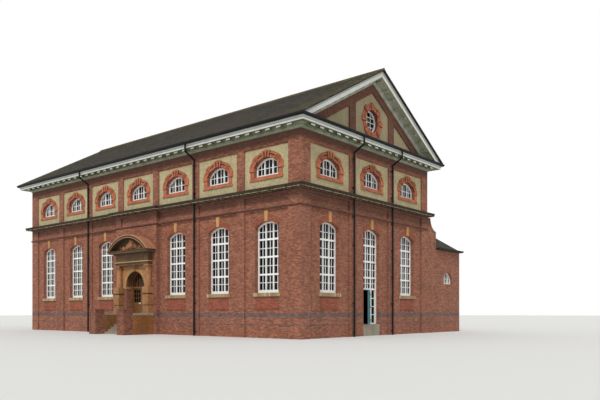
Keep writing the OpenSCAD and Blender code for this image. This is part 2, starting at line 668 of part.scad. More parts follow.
// a wedge of half angle h, pointing up when turn is 0
module wedge2d(r0, r1, h, turn) rotate(-turn)
  polygon([[-r0 * sin(h), r0 * cos(h)], [-r1 * sin(h), r1 * cos(h)], [r1 * sin(h), r1 * cos(h)], [r0 * sin(h), r0 * cos(h)]]);
module surround() difference() {
  union() {
    slab(pil_proj - ring_t, ring_t) surround2d();
    // raised blocks in the ring
    slab(pil_proj - block_t, block_t) translate([0, up_zc])
      for (t = [-1, 0, 1]) wedge2d(up_r - 60, up_r + surround_w + (t == 0 ? 70 : 45), 7, t * 37);
    // hood between the blocks
    slab(pil_proj - hood_t, hood_t) intersection() {
      surround2d();
      translate([0, up_zc]) difference() {
        circle(r = up_r + surround_w - 60, $fn = ARC);
        circle(r = up_r + surround_w - 150, $fn = ARC);
      }
      translate([-2 * up_r, up_spring_z]) square([4 * up_r, 2 * up_r]);
    }
    // jamb blocks and sill
    for (m = [-1, 1]) translate([m * (up_w / 2 + surround_w / 2), 0])
      slab(pil_proj - hood_t, hood_t) rect(-surround_w / 2, surround_w / 2, up_sill_z + up_jamb_h * 0.62, up_spring_z + 40);
    slab(pil_proj - block_t, block_t)
      rect(-up_w / 2 - surround_w * 0.9, up_w / 2 + surround_w * 0.9, up_sill_z - up_sill_h, up_sill_z - up_sill_h * 0.4);
  }
  up_hole();
}
ring_t = 50;
hood_t = 80;
block_t = 100;
ocu_ring = 430;
module oculus_surround() difference() {
  union() {
    slab(pil_proj - ring_t, ring_t) oculus2d(oculus_d + 2 * ocu_ring);
    slab(pil_proj - block_t, block_t) translate([0, oculus_z])
      for (i = [0:7]) wedge2d(oculus_d / 2 - 40, oculus_d / 2 + ocu_ring + (i % 2 == 0 ? 90 : 60), 8, i * 45);
    slab(pil_proj - hood_t, hood_t) difference() {
      oculus2d(oculus_d + 2 * ocu_ring - 100);
      oculus2d(oculus_d + 2 * ocu_ring - 260);
    }
  }
  slab(-200, 400) oculus2d(oculus_d);
}
module window_surrounds() color("orangered") {
  for (s = SIDES) at_bays(s, s[4]) surround();
  for (s = [EAST, WEST]) on(s) oculus_surround();
}
module render_panel(pw) slab(pil_proj - 25, 25) difference() {
  rect(-pw / 2, pw / 2, panel_bot_z, panel_top_z - over_h);
  surround2d();
  translate([0, up_zc]) for (t = [-1, 0, 1]) wedge2d(up_r - 60, up_r + surround_w + (t == 0 ? 70 : 45), 7, t * 37);
  rect(-up_w / 2 - surround_w * 0.9, up_w / 2 + surround_w * 0.9, up_sill_z - up_sill_h, up_sill_z - up_sill_h * 0.4);
}
module render_panels() color("wheat") {
  for (s = SIDES) at_bays(s, s[4]) render_panel(s[3]);
  for (s = [EAST, WEST]) on(s) slab(pil_proj - 25, 25) difference() {
    ped_panels2d();
    oculus2d(oculus_d + 2 * ocu_ring);
    translate([0, oculus_z]) for (i = [0:7]) wedge2d(oculus_d / 2, oculus_d / 2 + ocu_ring + (i % 2 == 0 ? 90 : 60), 8, i * 45);
  }
}
module low_windows() {
  at_bays(FRONT, FRONT_WINDOWS) children();
  at_bays(EAST, EAST_WINDOWS) children();
  at_bays(WEST, WEST[4]) children();
}
module window_sills() color("tan") low_windows() sill_block(pil_proj - 60);
module window_aprons() color("orangered") low_windows() {
  slab(pil_proj - 30, 30) rect(-low_w / 2 + 40, low_w / 2 - 40, apron_z, low_sill_z - sill_h);
  slab(pil_proj - 60, 60) rect(-low_w / 2 - 20, low_w / 2 + 20, apron_z, apron_z + 70);
}
key_z = string_low_z - fillet_h;
apron_z = land_z + 260;
module keystone2d() polygon([[-120, low_spring_z + low_rise - 40], [120, low_spring_z + low_rise - 40],
  [170, key_z], [-170, key_z]]);
module window_head() {
  r = arc_r(low_w, low_rise);
  zc = low_spring_z + low_rise - r;
  a = asin(low_w / 2 / r);
  slab(pil_proj - 20, 20) difference() {
    translate([0, zc]) intersection() {
      circle(r = r + head_h, $fn = ARC);
      polygon([[0, 0], [3 * r * sin(a), 3 * r * cos(a)], [3 * r, 3 * r], [-3 * r, 3 * r],
        [-3 * r * sin(a), 3 * r * cos(a)]]);
    }
    translate([0, zc]) circle(r = r, $fn = ARC);
    keystone2d();
  }
}
module window_heads() color("orangered") { low_windows() window_head(); on(EAST) window_head(); }
module keystone() {
  r = arc_r(low_w, low_rise);
  slab(pil_proj - 80, 80) difference() {
    keystone2d();
    translate([0, low_spring_z + low_rise - r]) circle(r = r, $fn = ARC);
  }
}
module window_keystones() color("tan") { low_windows() keystone(); on(EAST) keystone(); }

// gable door
module gable_door_frame() color("white") on(EAST) {
  difference() {
    slab(side_face, frame_d) difference() {
      arch2d(low_w, floor_z - frame_w, low_spring_z, low_rise, 0.8);
      arch2d(low_w, floor_z - frame_w, low_spring_z, low_rise, frame_w);
    }
    block(-low_w, low_w, side_face - EPS, side_face + frame_d + EPS, 0, floor_z);
    block(-low_w / 2 - EPS, side_x1, side_face - EPS, side_face + frame_d + EPS, floor_z - 2, floor_z);
  }
  slab(side_face, bar_d) intersection() {
    arch2d(low_w, floor_z - frame_w, low_spring_z, low_rise, frame_w - 10);
    union() {
      low_mullions(side_head_z);
      rect(low_w / 2 - frame_w - 80, low_w / 2 - frame_w + 10, floor_z, side_head_z + 10);
      low_transoms();
      rect(-low_w / 2, low_w / 2, side_head_z, side_head_z + transom_h);
      rect(side_x1, side_x1 + side_post, floor_z, side_head_z + 10);
      rect(side_x1, low_w / 2, floor_z, floor_z + frame_w);
    }
  }
}
// a panelled leaf: sunk panels on both faces, each [x0, x1, z0, z1] as shares of the leaf between its rails
module leaf(w, h, panels) difference() {
  cube([w, leaf_t, h]);
  for (q = panels) for (y = [-EPS, leaf_t - sunk])
    translate([rail_w + q[0] * (w - 2 * rail_w), y, rail_w + q[2] * (h - 2 * rail_w)])
      cube([(q[1] - q[0]) * (w - 2 * rail_w), sunk + EPS, (q[3] - q[2]) * (h - 2 * rail_w)]);
}
rail_w = 110;
sunk = 14;
SIDE_PANELS = [[0, 0.45, 0, 0.36], [0.55, 1, 0, 0.36], [0, 0.45, 0.43, 1], [0.55, 1, 0.43, 1]];
MAIN_PANELS = [[0, 0.45, 0, 0.3], [0.55, 1, 0, 0.3], [0, 1, 0.42, 1]];
// one hinge: the leaf's knuckle, and the pin with the two knuckles of the frame
module leaf_knuckle(z) translate([0, 0, z]) difference() {
  union() {
    cylinder(r = knuckle_r, h = 60, center = true, $fn = 48);
    translate([0, -knuckle_r, -30]) cube([60, 5, 60]);
  }
  cylinder(r = pin_r + pin_gap, h = 62, center = true, $fn = 48);
}
module frame_knuckles(z) translate([0, 0, z]) {
  cylinder(r = pin_r, h = 140, center = true, $fn = 48);
  for (m = [-1, 1]) translate([0, 0, m * 50.5]) cylinder(r = knuckle_r, h = 39, center = true, $fn = 48);
  for (m = [-1, 1]) translate([-60, -knuckle_r, m * 50.5 - 19.5]) cube([60, 5, 39]);
  translate([-60, -knuckle_r, -70]) cube([44, 5, 140]);
}
HINGES = [0.12, 0.5, 0.88];
module gable_door() color("teal") on(EAST) translate([side_axis_x, side_axis_y, 0]) rotate([0, 0, 180 + ajar]) {
  translate([door_gap / 2, -knuckle_r - leaf_t, floor_z + door_gap]) leaf(side_door_w, side_door_h, SIDE_PANELS);
  for (h = HINGES) leaf_knuckle(floor_z + door_gap + h * side_door_h);
}
module entrance_leaf() translate([door_axis_x, door_axis_y, 0]) {
  translate([door_gap / 2, -knuckle_r - leaf_t, land_z + door_gap]) leaf(door_w, door_h, MAIN_PANELS);
  for (h = HINGES) leaf_knuckle(land_z + door_gap + h * door_h);
}
module entrance_door() color("saddlebrown") on(FRONT) entrance_leaf();
module entrance_door_right() color("saddlebrown") on(FRONT) mirror([1, 0, 0]) entrance_leaf();
module door_hinges() color("dimgray") {
  on(EAST) translate([side_axis_x, side_axis_y, 0]) rotate([0, 0, 180])
    for (h = HINGES) frame_knuckles(floor_z + door_gap + h * side_door_h);
  on(FRONT) for (m = [0, 1]) mirror([m, 0, 0]) translate([door_axis_x, door_axis_y, 0])
    for (h = HINGES) frame_knuckles(land_z + door_gap + h * door_h);
}
module entrance_screen() color("saddlebrown") on(FRONT) slab(screen_back, screen_t) difference() {
  union() {
    rect(-arch_r, arch_r, land_z, arch_z);
    intersection() {
      translate([0, arch_z]) circle(r = arch_r, $fn = ARC);
      rect(-arch_r, arch_r, arch_z - EPS, arch_z + arch_r);
    }
  }
  rect(-door_x, door_x, land_z - EPS, door_head_z);
  intersection() {
    translate([0, arch_z]) circle(r = arch_r - 90, $fn = ARC);
    rect(-arch_r, arch_r, door_head_z + 100, arch_z + arch_r);
  }
}

// porch
// heights of a column's stages above the landing
plinth_top = 600;
panel_t = 30;
pedestal_top = 1450;
joint_h = 60;
blocks_top = 2060;
module porch_column() {
  y0 = -col_out - block_w / 2;
  sz = land_z + blocks_top;
  h = col_top - sz;
  // pedestal, banded blocks and an engaged shaft
  block(-block_w / 2 - 40, block_w / 2 + 40, y0 - 40, -fp_out, land_z, land_z + 120);
  block(-block_w / 2 + 20, block_w / 2 - 20, y0 + 20, -fp_out, land_z + 120, land_z + plinth_top);
  block(-block_w / 2 + 40, block_w / 2 - 40, y0 + 40, -fp_out, land_z + 120, sz - 10);
  block(-block_w / 2, block_w / 2, y0, -fp_out, land_z + plinth_top + joint_h, land_z + pedestal_top);
  block(-block_w / 2, block_w / 2, y0, -fp_out, land_z + pedestal_top + 2 * joint_h, sz);
  intersection() {
    translate([0, -col_out, sz - 10]) {
      cylinder(r = col_d / 2, h = h + 10, $fn = 96);
      cylinder(r = col_d / 2 + 50, h = 100, $fn = 96);
      translate([0, 0, h - 250]) cylinder(r = col_d / 2 + 30, h = 40, $fn = 96);
      translate([0, 0, h - 130]) cylinder(r1 = col_d / 2, r2 = col_d / 2 + 45, h = 80, $fn = 96);
    }
    block(-block_w, block_w, -fp_out - 1000, -fp_out - panel_t, sz, col_top);
  }
  block(-col_d / 2 - 50, col_d / 2 + 50, -col_out - col_d / 2 - 50, -fp_out - panel_t, col_top - 65, col_top);
}
module porch_columns() color("peru") on(FRONT) for (m = [-1, 1]) translate([m * col_x, 0, 0]) porch_column();
// a profile [projection, height] carried round a block of half width hw and depth d
module returned(prof, hw, d, y1) {
  p = max([for (q = prof) q[0]]);
  n = len(prof);
  z0 = prof[0][1];
  z1 = prof[n - 1][1];
  intersection() {
    translate([-hw - p - EPS, 0, 0]) rotate([90, 0, 90]) linear_extrude(height = 2 * (hw + p + EPS))
      polygon(concat([[y1, z0]], [for (q = prof) [y1 - d - q[0], q[1]]], [[y1, z1]]));
    translate([0, y1, 0]) rotate([90, 0, 0]) linear_extrude(height = d + p + EPS)
      polygon(concat([for (q = prof) [hw + q[0], q[1]]], [for (i = [n - 1:-1:0]) [-hw - prof[i][0], prof[i][1]]]));
  }
}
entab_hw = col_x + col_d / 2 - 25;
entab_d = col_out + col_d / 2 - fp_out;
corona = 525;
ENTAB = [[0, 0], [0, 150], [40, 165], [70, 210], [70, 340], [10, 370], [10, entab_h - 300], [60, entab_h - 290],
  [110, entab_h - 230], [corona - 70, entab_h - 210], [corona - 70, entab_h - 100], [corona - 30, entab_h - 80],
  [corona, entab_h - 30], [corona, entab_h]];
module porch_entablature() color("peru") on(FRONT)
  returned([for (q = ENTAB) [q[0], q[1] + entab_z]], entab_hw, entab_d, -fp_out);
ped_z = entab_z + entab_h;
ped_hw = entab_hw + corona;
ped_r = arc_r(2 * ped_hw, ped_rise);
module seg2d(drop) intersection() {
  translate([0, ped_z + ped_rise - ped_r]) circle(r = ped_r - drop, $fn = 256);
  rect(-ped_hw, ped_hw, ped_z, ped_z + ped_rise);
}
module porch_pediment() color("chocolate") on(FRONT) {
  difference() {
    slab(-fp_out - entab_d - corona, entab_d + corona) seg2d(0);
    slab(-fp_out - entab_d - corona - EPS, corona + EPS) seg2d(260);
  }
  // roundel in the tympanum
  translate([0, -fp_out - entab_d + EPS, ped_z + 470]) rotate([90, 0, 0]) {
    cylinder(r = 330, h = 60, $fn = 96);
    cylinder(r = 240, h = 130, $fn = 96);
  }
}
module porch_landing() color("silver") on(FRONT) for (m = [-1, 1])
  block(m > 0 ? stair_in - 30 : -stair_ext - 45, m > 0 ? stair_ext + 45 : -stair_in + 30, -pier_back, -fp_out,
    land_z - slab_t, land_z);
// the flight between front edges y1 and y0 from the wall plane, cut from one stepped outline
module flight(hw, y0, y1) translate([-hw, 0, 0]) intersection() {
  rotate([90, 0, 90]) linear_extrude(height = 2 * hw) union()
    for (i = [1:riser_n]) translate([-step_out(i), 0]) square([step_out(i) + full_t, i * riser]);
  block(-EPS, 2 * hw + EPS, -y1, -y0, 0, land_z);
}
module entrance_steps() color("silver") on(FRONT) flight(stair_in, fp_out, pier_back);
module stair_walls() color("firebrick") on(FRONT) for (m = [-1, 1]) translate([m * pier_x, 0, 0]) {
  difference() {
    block(-pier_w / 2, pier_w / 2, -stair_out, -pier_back, 0, pier_h);
    // sunk panels on the three open faces
    block(-pier_w / 2 + 130, pier_w / 2 - 130, -stair_out - EPS, -stair_out + 25, 250, pier_h - 200);
    for (f = [-1, 1]) block(f > 0 ? pier_w / 2 - 25 : -pier_w / 2 - EPS, f > 0 ? pier_w / 2 + EPS : -pier_w / 2 + 25,
      -stair_out + 130, -pier_back - 130, 250, pier_h - 200);
  }
  block(-pier_w / 2 - 30, pier_w / 2 + 30, -stair_out - 30, -pier_back, pier_h, pier_h + 80);
}
module landing_boards() color("saddlebrown") on(FRONT) for (m = [-1, 1])
  for (x = [stair_in, stair_ext - board_t])
    block(m > 0 ? x : -x - board_t, m > 0 ? x + board_t : -x, -pier_back, -fp_out, 0, land_z - slab_t);

// rear range
module range_windows() {
  at_bays([180, range_out, bay_pitch, 0, []], [-3:3]) children();
  for (m = [-1, 1]) rotate([0, 0, m * 90]) translate([m * (range_in + range_out) / 2, -half_l, 0]) children();
}
module range_frame() {
  slab(frame_back, frame_d) difference() {
    arch2d(range_win_w, range_win_z, range_win_spring, range_win_rise);
    arch2d(range_win_w, range_win_z, range_win_spring, range_win_rise, frame_w);
  }
  slab(frame_back, bar_d) intersection() {
    arch2d(range_win_w, range_win_z, range_win_spring, range_win_rise, frame_w - 10);
    for (m = [-1, 1]) translate([m * range_win_w / 6, 0])
      rect(-mullion_w / 2, mullion_w / 2, range_win_z, range_win_spring + range_win_rise);
  }
}
module range_hole() slab(-EPS, annex_t + 2 * EPS) arch2d(range_win_w, range_win_z, range_win_spring, range_win_rise);
module range_rear_wall() color("firebrick") difference() {
  block(-half_l, half_l, range_out - annex_t, range_out, 0, annex_z);
  range_windows() range_hole();
}
module range_end_walls() color("firebrick") difference() {
  for (m = [-1, 1]) block(m > 0 ? half_l - annex_t : -half_l, m > 0 ? half_l : -half_l + annex_t,
    range_in, range_out - annex_t, 0, annex_z);
  range_windows() range_hole();
}
module range_inner_wall() color("firebrick")
  block(-half_l + annex_t, half_l - annex_t, range_in, range_in + annex_t, 0, annex_z);
module hip(drop) {
  x = half_l + annex_out;
  z = annex_z + gutter_h * 0.5 - drop;
  intersection() {
    translate([-x, 0, 0]) rotate([90, 0, 90]) linear_extrude(height = 2 * x)
      polygon([[range_in, annex_z], [range_in, z], [range_mid, z + range_rise], [range_out + annex_out, z],
        [range_out + annex_out, annex_z]]);
    translate([0, range_out + annex_out, 0]) rotate([90, 0, 0]) linear_extrude(height = range_out + annex_out - range_in)
      polygon([[-x, annex_z], [-x, z], [-x + range_rise / range_slope, z + range_rise],
        [x - range_rise / range_slope, z + range_rise], [x, z], [x, annex_z]]);
  }
}
module range_roof() color("darkslategray") {
  difference() {
    hip(0);
    intersection() {
      translate([0, 0, -120]) hip(0);
      block(-half_l + annex_t, half_l - annex_t, range_in + annex_t, range_out - annex_t, 0, 2 * annex_z);
    }
  }
  block(-half_l + butt_w, half_l - butt_w, half_w, range_in, annex_z - 200, annex_z - 80);
}
module rear_buttresses() color("firebrick") difference() {
  h = string_z - string_low_z;
  for (m = [-1, 1]) block(m > 0 ? half_l - butt_w : -half_l, m > 0 ? half_l : -half_l + butt_w,
    half_w, range_in, 0, string_z);
  // the concave sweep of the scroll
  translate([-half_l - EPS, range_in + 100, string_z + 20]) rotate([0, 90, 0])
    cylinder(r = h, h = 2 * half_l + 2 * EPS, $fn = ARC);
}

ground_floors();
front_wall_lower();
entrance_wall_sides();
entrance_wall_head();
rear_wall_lower();
east_wall_sides();
east_wall_head();
doorway_thresholds();
west_wall_lower();
front_wall_upper();
rear_wall_upper();
gable_walls_upper();
pediment_walls();
lower_string_course();
side_string_cornices();
gable_string_cornices();
entrance_string_cornice();
side_eaves_cornices();
gable_eaves_cornices();
front_raking_cornices();
rear_raking_cornices();
front_roof_slope();
rear_roof_slope();
ridge_tiles();
side_gutters();
gable_gutters();
downpipes();
lower_window_frames();
upper_window_frames();
lower_window_glass();
upper_window_glass();
window_surrounds();
render_panels();
window_sills();
window_aprons();
window_heads();
window_keystones();
gable_door_frame();
gable_door();
entrance_screen();
entrance_door();
entrance_door_right();
door_hinges();
porch_columns();
porch_arch();
porch_entablature();
porch_pediment();
porch_landing();
entrance_steps();
stair_walls();
landing_boards();
range_rear_wall();
range_end_walls();
range_inner_wall();
range_roof();
rear_buttresses();
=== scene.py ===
"""A red-brick engine house dressed for rendering: finishes, joinery, slates, mouldings and porch ornament.

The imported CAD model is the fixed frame, and every length is in metres in that frame. A side's own
frame runs x along the wall, y inward from the face of the pilasters and z up.
"""
import logging
import math
import random
from dataclasses import dataclass, field
from enum import Enum
from typing import Any, Callable, Iterable, Optional, Sequence, Union

import bmesh
import bpy
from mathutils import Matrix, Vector


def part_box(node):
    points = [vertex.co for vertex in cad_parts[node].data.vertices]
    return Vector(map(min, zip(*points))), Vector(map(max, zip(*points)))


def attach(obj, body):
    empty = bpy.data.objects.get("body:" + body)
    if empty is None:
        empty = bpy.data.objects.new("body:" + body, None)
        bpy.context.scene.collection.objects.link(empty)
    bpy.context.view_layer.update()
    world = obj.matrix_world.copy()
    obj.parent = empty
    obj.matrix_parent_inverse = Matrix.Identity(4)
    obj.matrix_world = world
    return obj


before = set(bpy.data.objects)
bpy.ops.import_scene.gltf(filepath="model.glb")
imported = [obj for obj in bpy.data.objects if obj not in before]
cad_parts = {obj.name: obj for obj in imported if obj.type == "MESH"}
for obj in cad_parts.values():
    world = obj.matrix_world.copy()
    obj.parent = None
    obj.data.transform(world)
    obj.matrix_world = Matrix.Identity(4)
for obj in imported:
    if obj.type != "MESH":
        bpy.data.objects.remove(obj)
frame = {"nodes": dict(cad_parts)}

LOG = logging.getLogger("engine_house")
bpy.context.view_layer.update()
Pair = Sequence[float]  # two limits, in rising order unless a note says otherwise
Row = Sequence[float]
Point = tuple[float, float, float]
Placer = Callable[[float, float, float], Point]
Socket = bpy.types.NodeSocket
Stops = tuple[tuple[float, str], ...]
Tint = Union[str, Socket]
Tree = bpy.types.NodeTree

ROOF_PITCH = 29.5
SLOPE_PER_LEVEL = 1.149  # length up the roof for each metre on the level
BAY, GABLE_BAY, RANGE_END = 4.65, 5.05, 11.86  # pitches of the bays, and the middle of the range's ends


def linear(colour: str) -> tuple[float, ...]:
    """Turn an sRGB hex colour into linear RGBA.

    Args:
        colour: six hex digits with a leading hash.

    Returns:
        Linear red, green, blue and an alpha of one.
    """
    parts = [int(colour[i:i + 2], 16) / 255 for i in (1, 3, 5)]
    return tuple(c / 12.92 if c <= 0.04045 else ((c + 0.055) / 1.055) ** 2.4 for c in parts) + (1.0,)


def add_node(tree: Tree, kind: str, settings: dict[Any, Any], output: Union[int, str] = 0) -> Socket:
    """Add one node with its settings and links.

    Args:
        tree: the material's node tree.
        kind: the node's type, after ShaderNode.
        settings: values by the name of a property, or by the name or number of an input; a socket is linked,
            and stops are a ramp's colours.
        output: name or number of the output wanted.

    Returns:
        That output.
    """
    made = tree.nodes.new("ShaderNode" + kind)
    for key, value in settings.items():
        if isinstance(value, Socket):
            tree.links.new(value, made.inputs[key])
        elif key == "stops":
            elements = made.color_ramp.elements
            elements.remove(elements[-1])
            elements[0].position, elements[0].color = value[0][0], linear(value[0][1])
            for place, colour in value[1:]:
                elements.new(place).color = linear(colour)
        elif isinstance(key, int) or key in made.inputs:
            made.inputs[key].default_value = value
        else:
            setattr(made, key, value)
    return made.outputs[output]


def coordinate(tree: Tree, axis: int, source: str = "Object") -> Socket:
    """Give one coordinate of the surface's place, or of its Normal."""
    return add_node(tree, "SeparateXYZ", {0: add_node(tree, "TexCoord", {}, source)}, axis)


def lay_over(tree: Tree, base: Tint, coat: Tint, share: Socket, amount: float = 1.0) -> Socket:
    """Lay one colour over another.

    Args:
        tree: the material's node tree.
        base: the colour below, as sRGB hex or a socket.
        coat: the colour on top.
        share: mask of the coat.
        amount: what the mask is multiplied by.

    Returns:
        The mixed colour.
    """
    below, above = (linear(tint) if isinstance(tint, str) else tint for tint in (base, coat))
    part = add_node(tree, "Math", {"operation": "MULTIPLY", 0: share, 1: amount})
    return add_node(tree, "Mix", {"data_type": "RGBA", 0: part, 6: below, 7: above}, 2)


def patches(tree: Tree, scale: float, limits: Pair, detail: float = 5.0, roughness: float = 0.5,
            drop: float = 1.0) -> Socket:
    """Mask soft patches.

    Args:
        tree: the material's node tree.
        scale: patches per metre.
        limits: cloud values at which the mask is 0 and 1.
        detail: number of finer clouds in it.
        roughness: strength of the finer clouds.
        drop: share of the scale that holds down the wall; a small one draws streaks.

    Returns:
        The mask.
    """
    spread = add_node(tree, "Mapping", {0: add_node(tree, "TexCoord", {}, "Object"),
                                        "Scale": (scale, scale, scale * drop)})
    cloud = add_node(tree, "TexNoise", {"Vector": spread, "Scale": 1.0, "Detail": detail,
                                        "Roughness": roughness})
    return add_node(tree, "MapRange", {0: cloud, 1: limits[0], 2: limits[1]})


def weathered(tree: Tree, colour: Tint, stain: str, scale: float, amount: float) -> Socket:
    """Lay soft stains over a colour, longer down the wall than along it.

    Args:
        tree: the material's node tree.
        colour: the clean colour.
        stain: sRGB hex of the stain.
        scale: stains per metre.
        amount: the strongest share of stain.

    Returns:
        The stained colour.
    """
    return lay_over(tree, colour, stain, patches(tree, scale, (0.42, 0.72), 6.0, 0.65, 0.35), amount)


def facing_mask(tree: Tree, low: float, high: float) -> Socket:
    """Mask the faces that look up between two leans, or down where both are below zero."""
    return add_node(tree, "MapRange", {0: coordinate(tree, 2, "Normal"), 1: low, 2: high})


def level_band(tree: Tree, low: float, high: float, soft: float) -> Socket:
    """Mask a band between two heights.

    Args:
        tree: the material's node tree.
        low: height at which the band has faded in.
        high: height at which it stops short.
        soft: height over which it fades in.

    Returns:
        The mask, 1 inside the band.
    """
    level = coordinate(tree, 2)
    rise = add_node(tree, "MapRange", {0: level, 1: low - soft, 2: low})
    under = add_node(tree, "Math", {"operation": "LESS_THAN", 0: level, 1: high})
    return add_node(tree, "Math", {"operation": "MULTIPLY", 0: rise, 1: under})


class Plane(Enum):
    """How a flat pattern lies on a surface: its second axis is the height, or the distance up the slope."""

    WALL = "wall"
    ROOF = "roof"


@dataclass(frozen=True)
class Finish:
    """A surface finish: what it is made of and how it was made."""

    name: str
    roughness: float = 0.8
    specular: float = field(default=0.5, kw_only=True)
    depth: float = field(default=0.002, kw_only=True)  # of the relief

    def colour(self, tree: Tree) -> Socket:
        """Build the colour; each finish has its own."""
        raise NotImplementedError

    def tooth(self) -> Pair:
        """Scale per metre and detail of the fine relief."""
        return (30.0, 3.0)

    def height(self, tree: Tree) -> Socket:
        """Build the relief, a fine tooth unless a finish has another.

        Args:
            tree: the material's node tree.

        Returns:
            The height.
        """
        scale, detail = self.tooth()
        return add_node(tree, "TexNoise", {"Vector": add_node(tree, "TexCoord", {}, "Object"), "Scale": scale,
                                           "Detail": detail})

    def dress(self, shader: bpy.types.Node) -> None:
        """Set the constants of the shader that this finish needs."""

    def material(self) -> bpy.types.Material:
        """Build the material.

        Returns:
            A node material with colour, roughness and relief.
        """
        made = bpy.data.materials.new(self.name)
        made.use_nodes = True
        tree = made.node_tree
        shader = tree.nodes["Principled BSDF"]
        shader.inputs["Roughness"].default_value = self.roughness
        shader.inputs["Specular IOR Level"].default_value = self.specular
        bump = add_node(tree, "Bump", {"Strength": 1.0, "Distance": self.depth, "Height": self.height(tree)})
        tree.links.new(self.colour(tree), shader.inputs["Base Color"])
        tree.links.new(bump, shader.inputs["Normal"])
        self.dress(shader)
        return made


@dataclass(frozen=True)
class CoursedFinish(Finish):
    """Units laid in courses with joints, each unit a tint of its own."""

    tints: Stops = ((0.0, "#6b392c"), (1.0, "#a8664d"))
    joint_colour: str = "#9b8775"
    stain: str = "#4a3028"
    stain_amount: float = 0.35
    unit: Pair = (0.225, 0.075)  # a brick's length and height, each with its joint
    joint: float = 0.005
    plane: Plane = Plane.WALL
    depth: float = field(default=0.004, kw_only=True)

    def plane_vector(self, tree: Tree) -> Socket:
        """Lay the flat pattern along the wall or up the roof, in metres.

        Args:
            tree: the material's node tree.

        Returns:
            A vector whose x runs level along the surface.
        """
        lean = [add_node(tree, "Math", {"operation": "ABSOLUTE", 0: coordinate(tree, axis, "Normal")})
                for axis in (0, 1)]
        turned = add_node(tree, "Math", {"operation": "GREATER_THAN", 0: lean[0], 1: lean[1]})
        x, y, rise = (coordinate(tree, axis) for axis in (0, 1, 2))
        if self.plane is Plane.ROOF:
            back = add_node(tree, "Mix", {"data_type": "FLOAT", 0: turned, 2: y, 3: x})
            rise = add_node(tree, "Math", {"operation": "MULTIPLY", 0: back, 1: SLOPE_PER_LEVEL})
        level = add_node(tree, "Mix", {"data_type": "FLOAT", 0: turned, 2: x, 3: y})
        return add_node(tree, "CombineXYZ", {0: level, 1: rise})

    def pattern(self, tree: Tree) -> bpy.types.Node:
        """Build the pattern of courses.

        Args:
            tree: the material's node tree.

        Returns:
            A node whose Color, black to white, picks a unit's tint and whose Fac is the joint.
        """
        return add_node(tree, "TexBrick", {
            "Vector": self.plane_vector(tree), "offset": 0.5, "Scale": 1.0, "Mortar Size": self.joint,
            "Mortar Smooth": 0.15, "Brick Width": self.unit[0], "Row Height": self.unit[1],
            "Color1": (0, 0, 0, 1), "Color2": (1, 1, 1, 1), "Mortar": (0.5, 0.5, 0.5, 1)}).node

    def colour(self, tree: Tree) -> Socket:
        """Tint each unit, lay the joints between and stain the whole.

        Args:
            tree: the material's node tree.

        Returns:
            The colour.
        """
        pattern = self.pattern(tree)
        units = add_node(tree, "ValToRGB", {0: pattern.outputs["Color"], "stops": self.tints})
        jointed = lay_over(tree, units, self.joint_colour, pattern.outputs["Fac"])
        return weathered(tree, jointed, self.stain, 0.7, self.stain_amount)

    def tooth(self) -> Pair:
        """Sandy grain of 11 mm, ten times the real grit so that it shows."""
        return (90.0, 2.0)

    def height(self, tree: Tree) -> Socket:
        """Sink the joints behind the grainy faces of the units.

        Args:
            tree: the material's node tree.

        Returns:
            The height.
        """
        sunk = add_node(tree, "Math", {"operation": "MULTIPLY", 0: self.pattern(tree).outputs["Fac"], 1: -1.0})
        grain = Finish.height(self, tree)
        return add_node(tree, "Math", {"operation": "MULTIPLY_ADD", 0: grain, 1: 0.25, 2: sunk})


@dataclass(frozen=True)
class HallBrick(CoursedFinish):
    """Hand-pressed red brick in lime mortar: blue courses low down, and painted shade under what oversails."""

    blue: tuple[Pair, ...] = ((1.36, 1.65), (0.83, 0.905))  # heights of its foot and top
    # painted shade under what oversails: heights of its foot and top, the height over which it fades in and its
    # strength
    soot: tuple[Pair, ...] = ((8.98, 9.56, 0.18, 0.55), (12.92, 13.4, 0.3, 0.75), (13.9, 19.5, 0.3, 0.62))

    def colour(self, tree: Tree) -> Socket:
        """Lay the red bricks, then the blue courses and the painted shade by height.

        Args:
            tree: the material's node tree.

        Returns:
            The colour.
        """
        laid = CoursedFinish.colour(self, tree)
        blue = add_node(tree, "ValToRGB", {0: self.pattern(tree).outputs["Color"], "stops": (
            (0.0, "#4a494d"), (0.5, "#5b575a"), (1.0, "#716663"))})
        for low, high in self.blue:
            laid = lay_over(tree, laid, blue, level_band(tree, low, high, 0.01), 0.7)
        # dark brown bands painted as the shade under the cornices, eaves, rakes and sills
        for low, high, soft, amount in self.soot:
            laid = lay_over(tree, laid, "#4a3127", level_band(tree, low, high, soft), amount)
        return laid


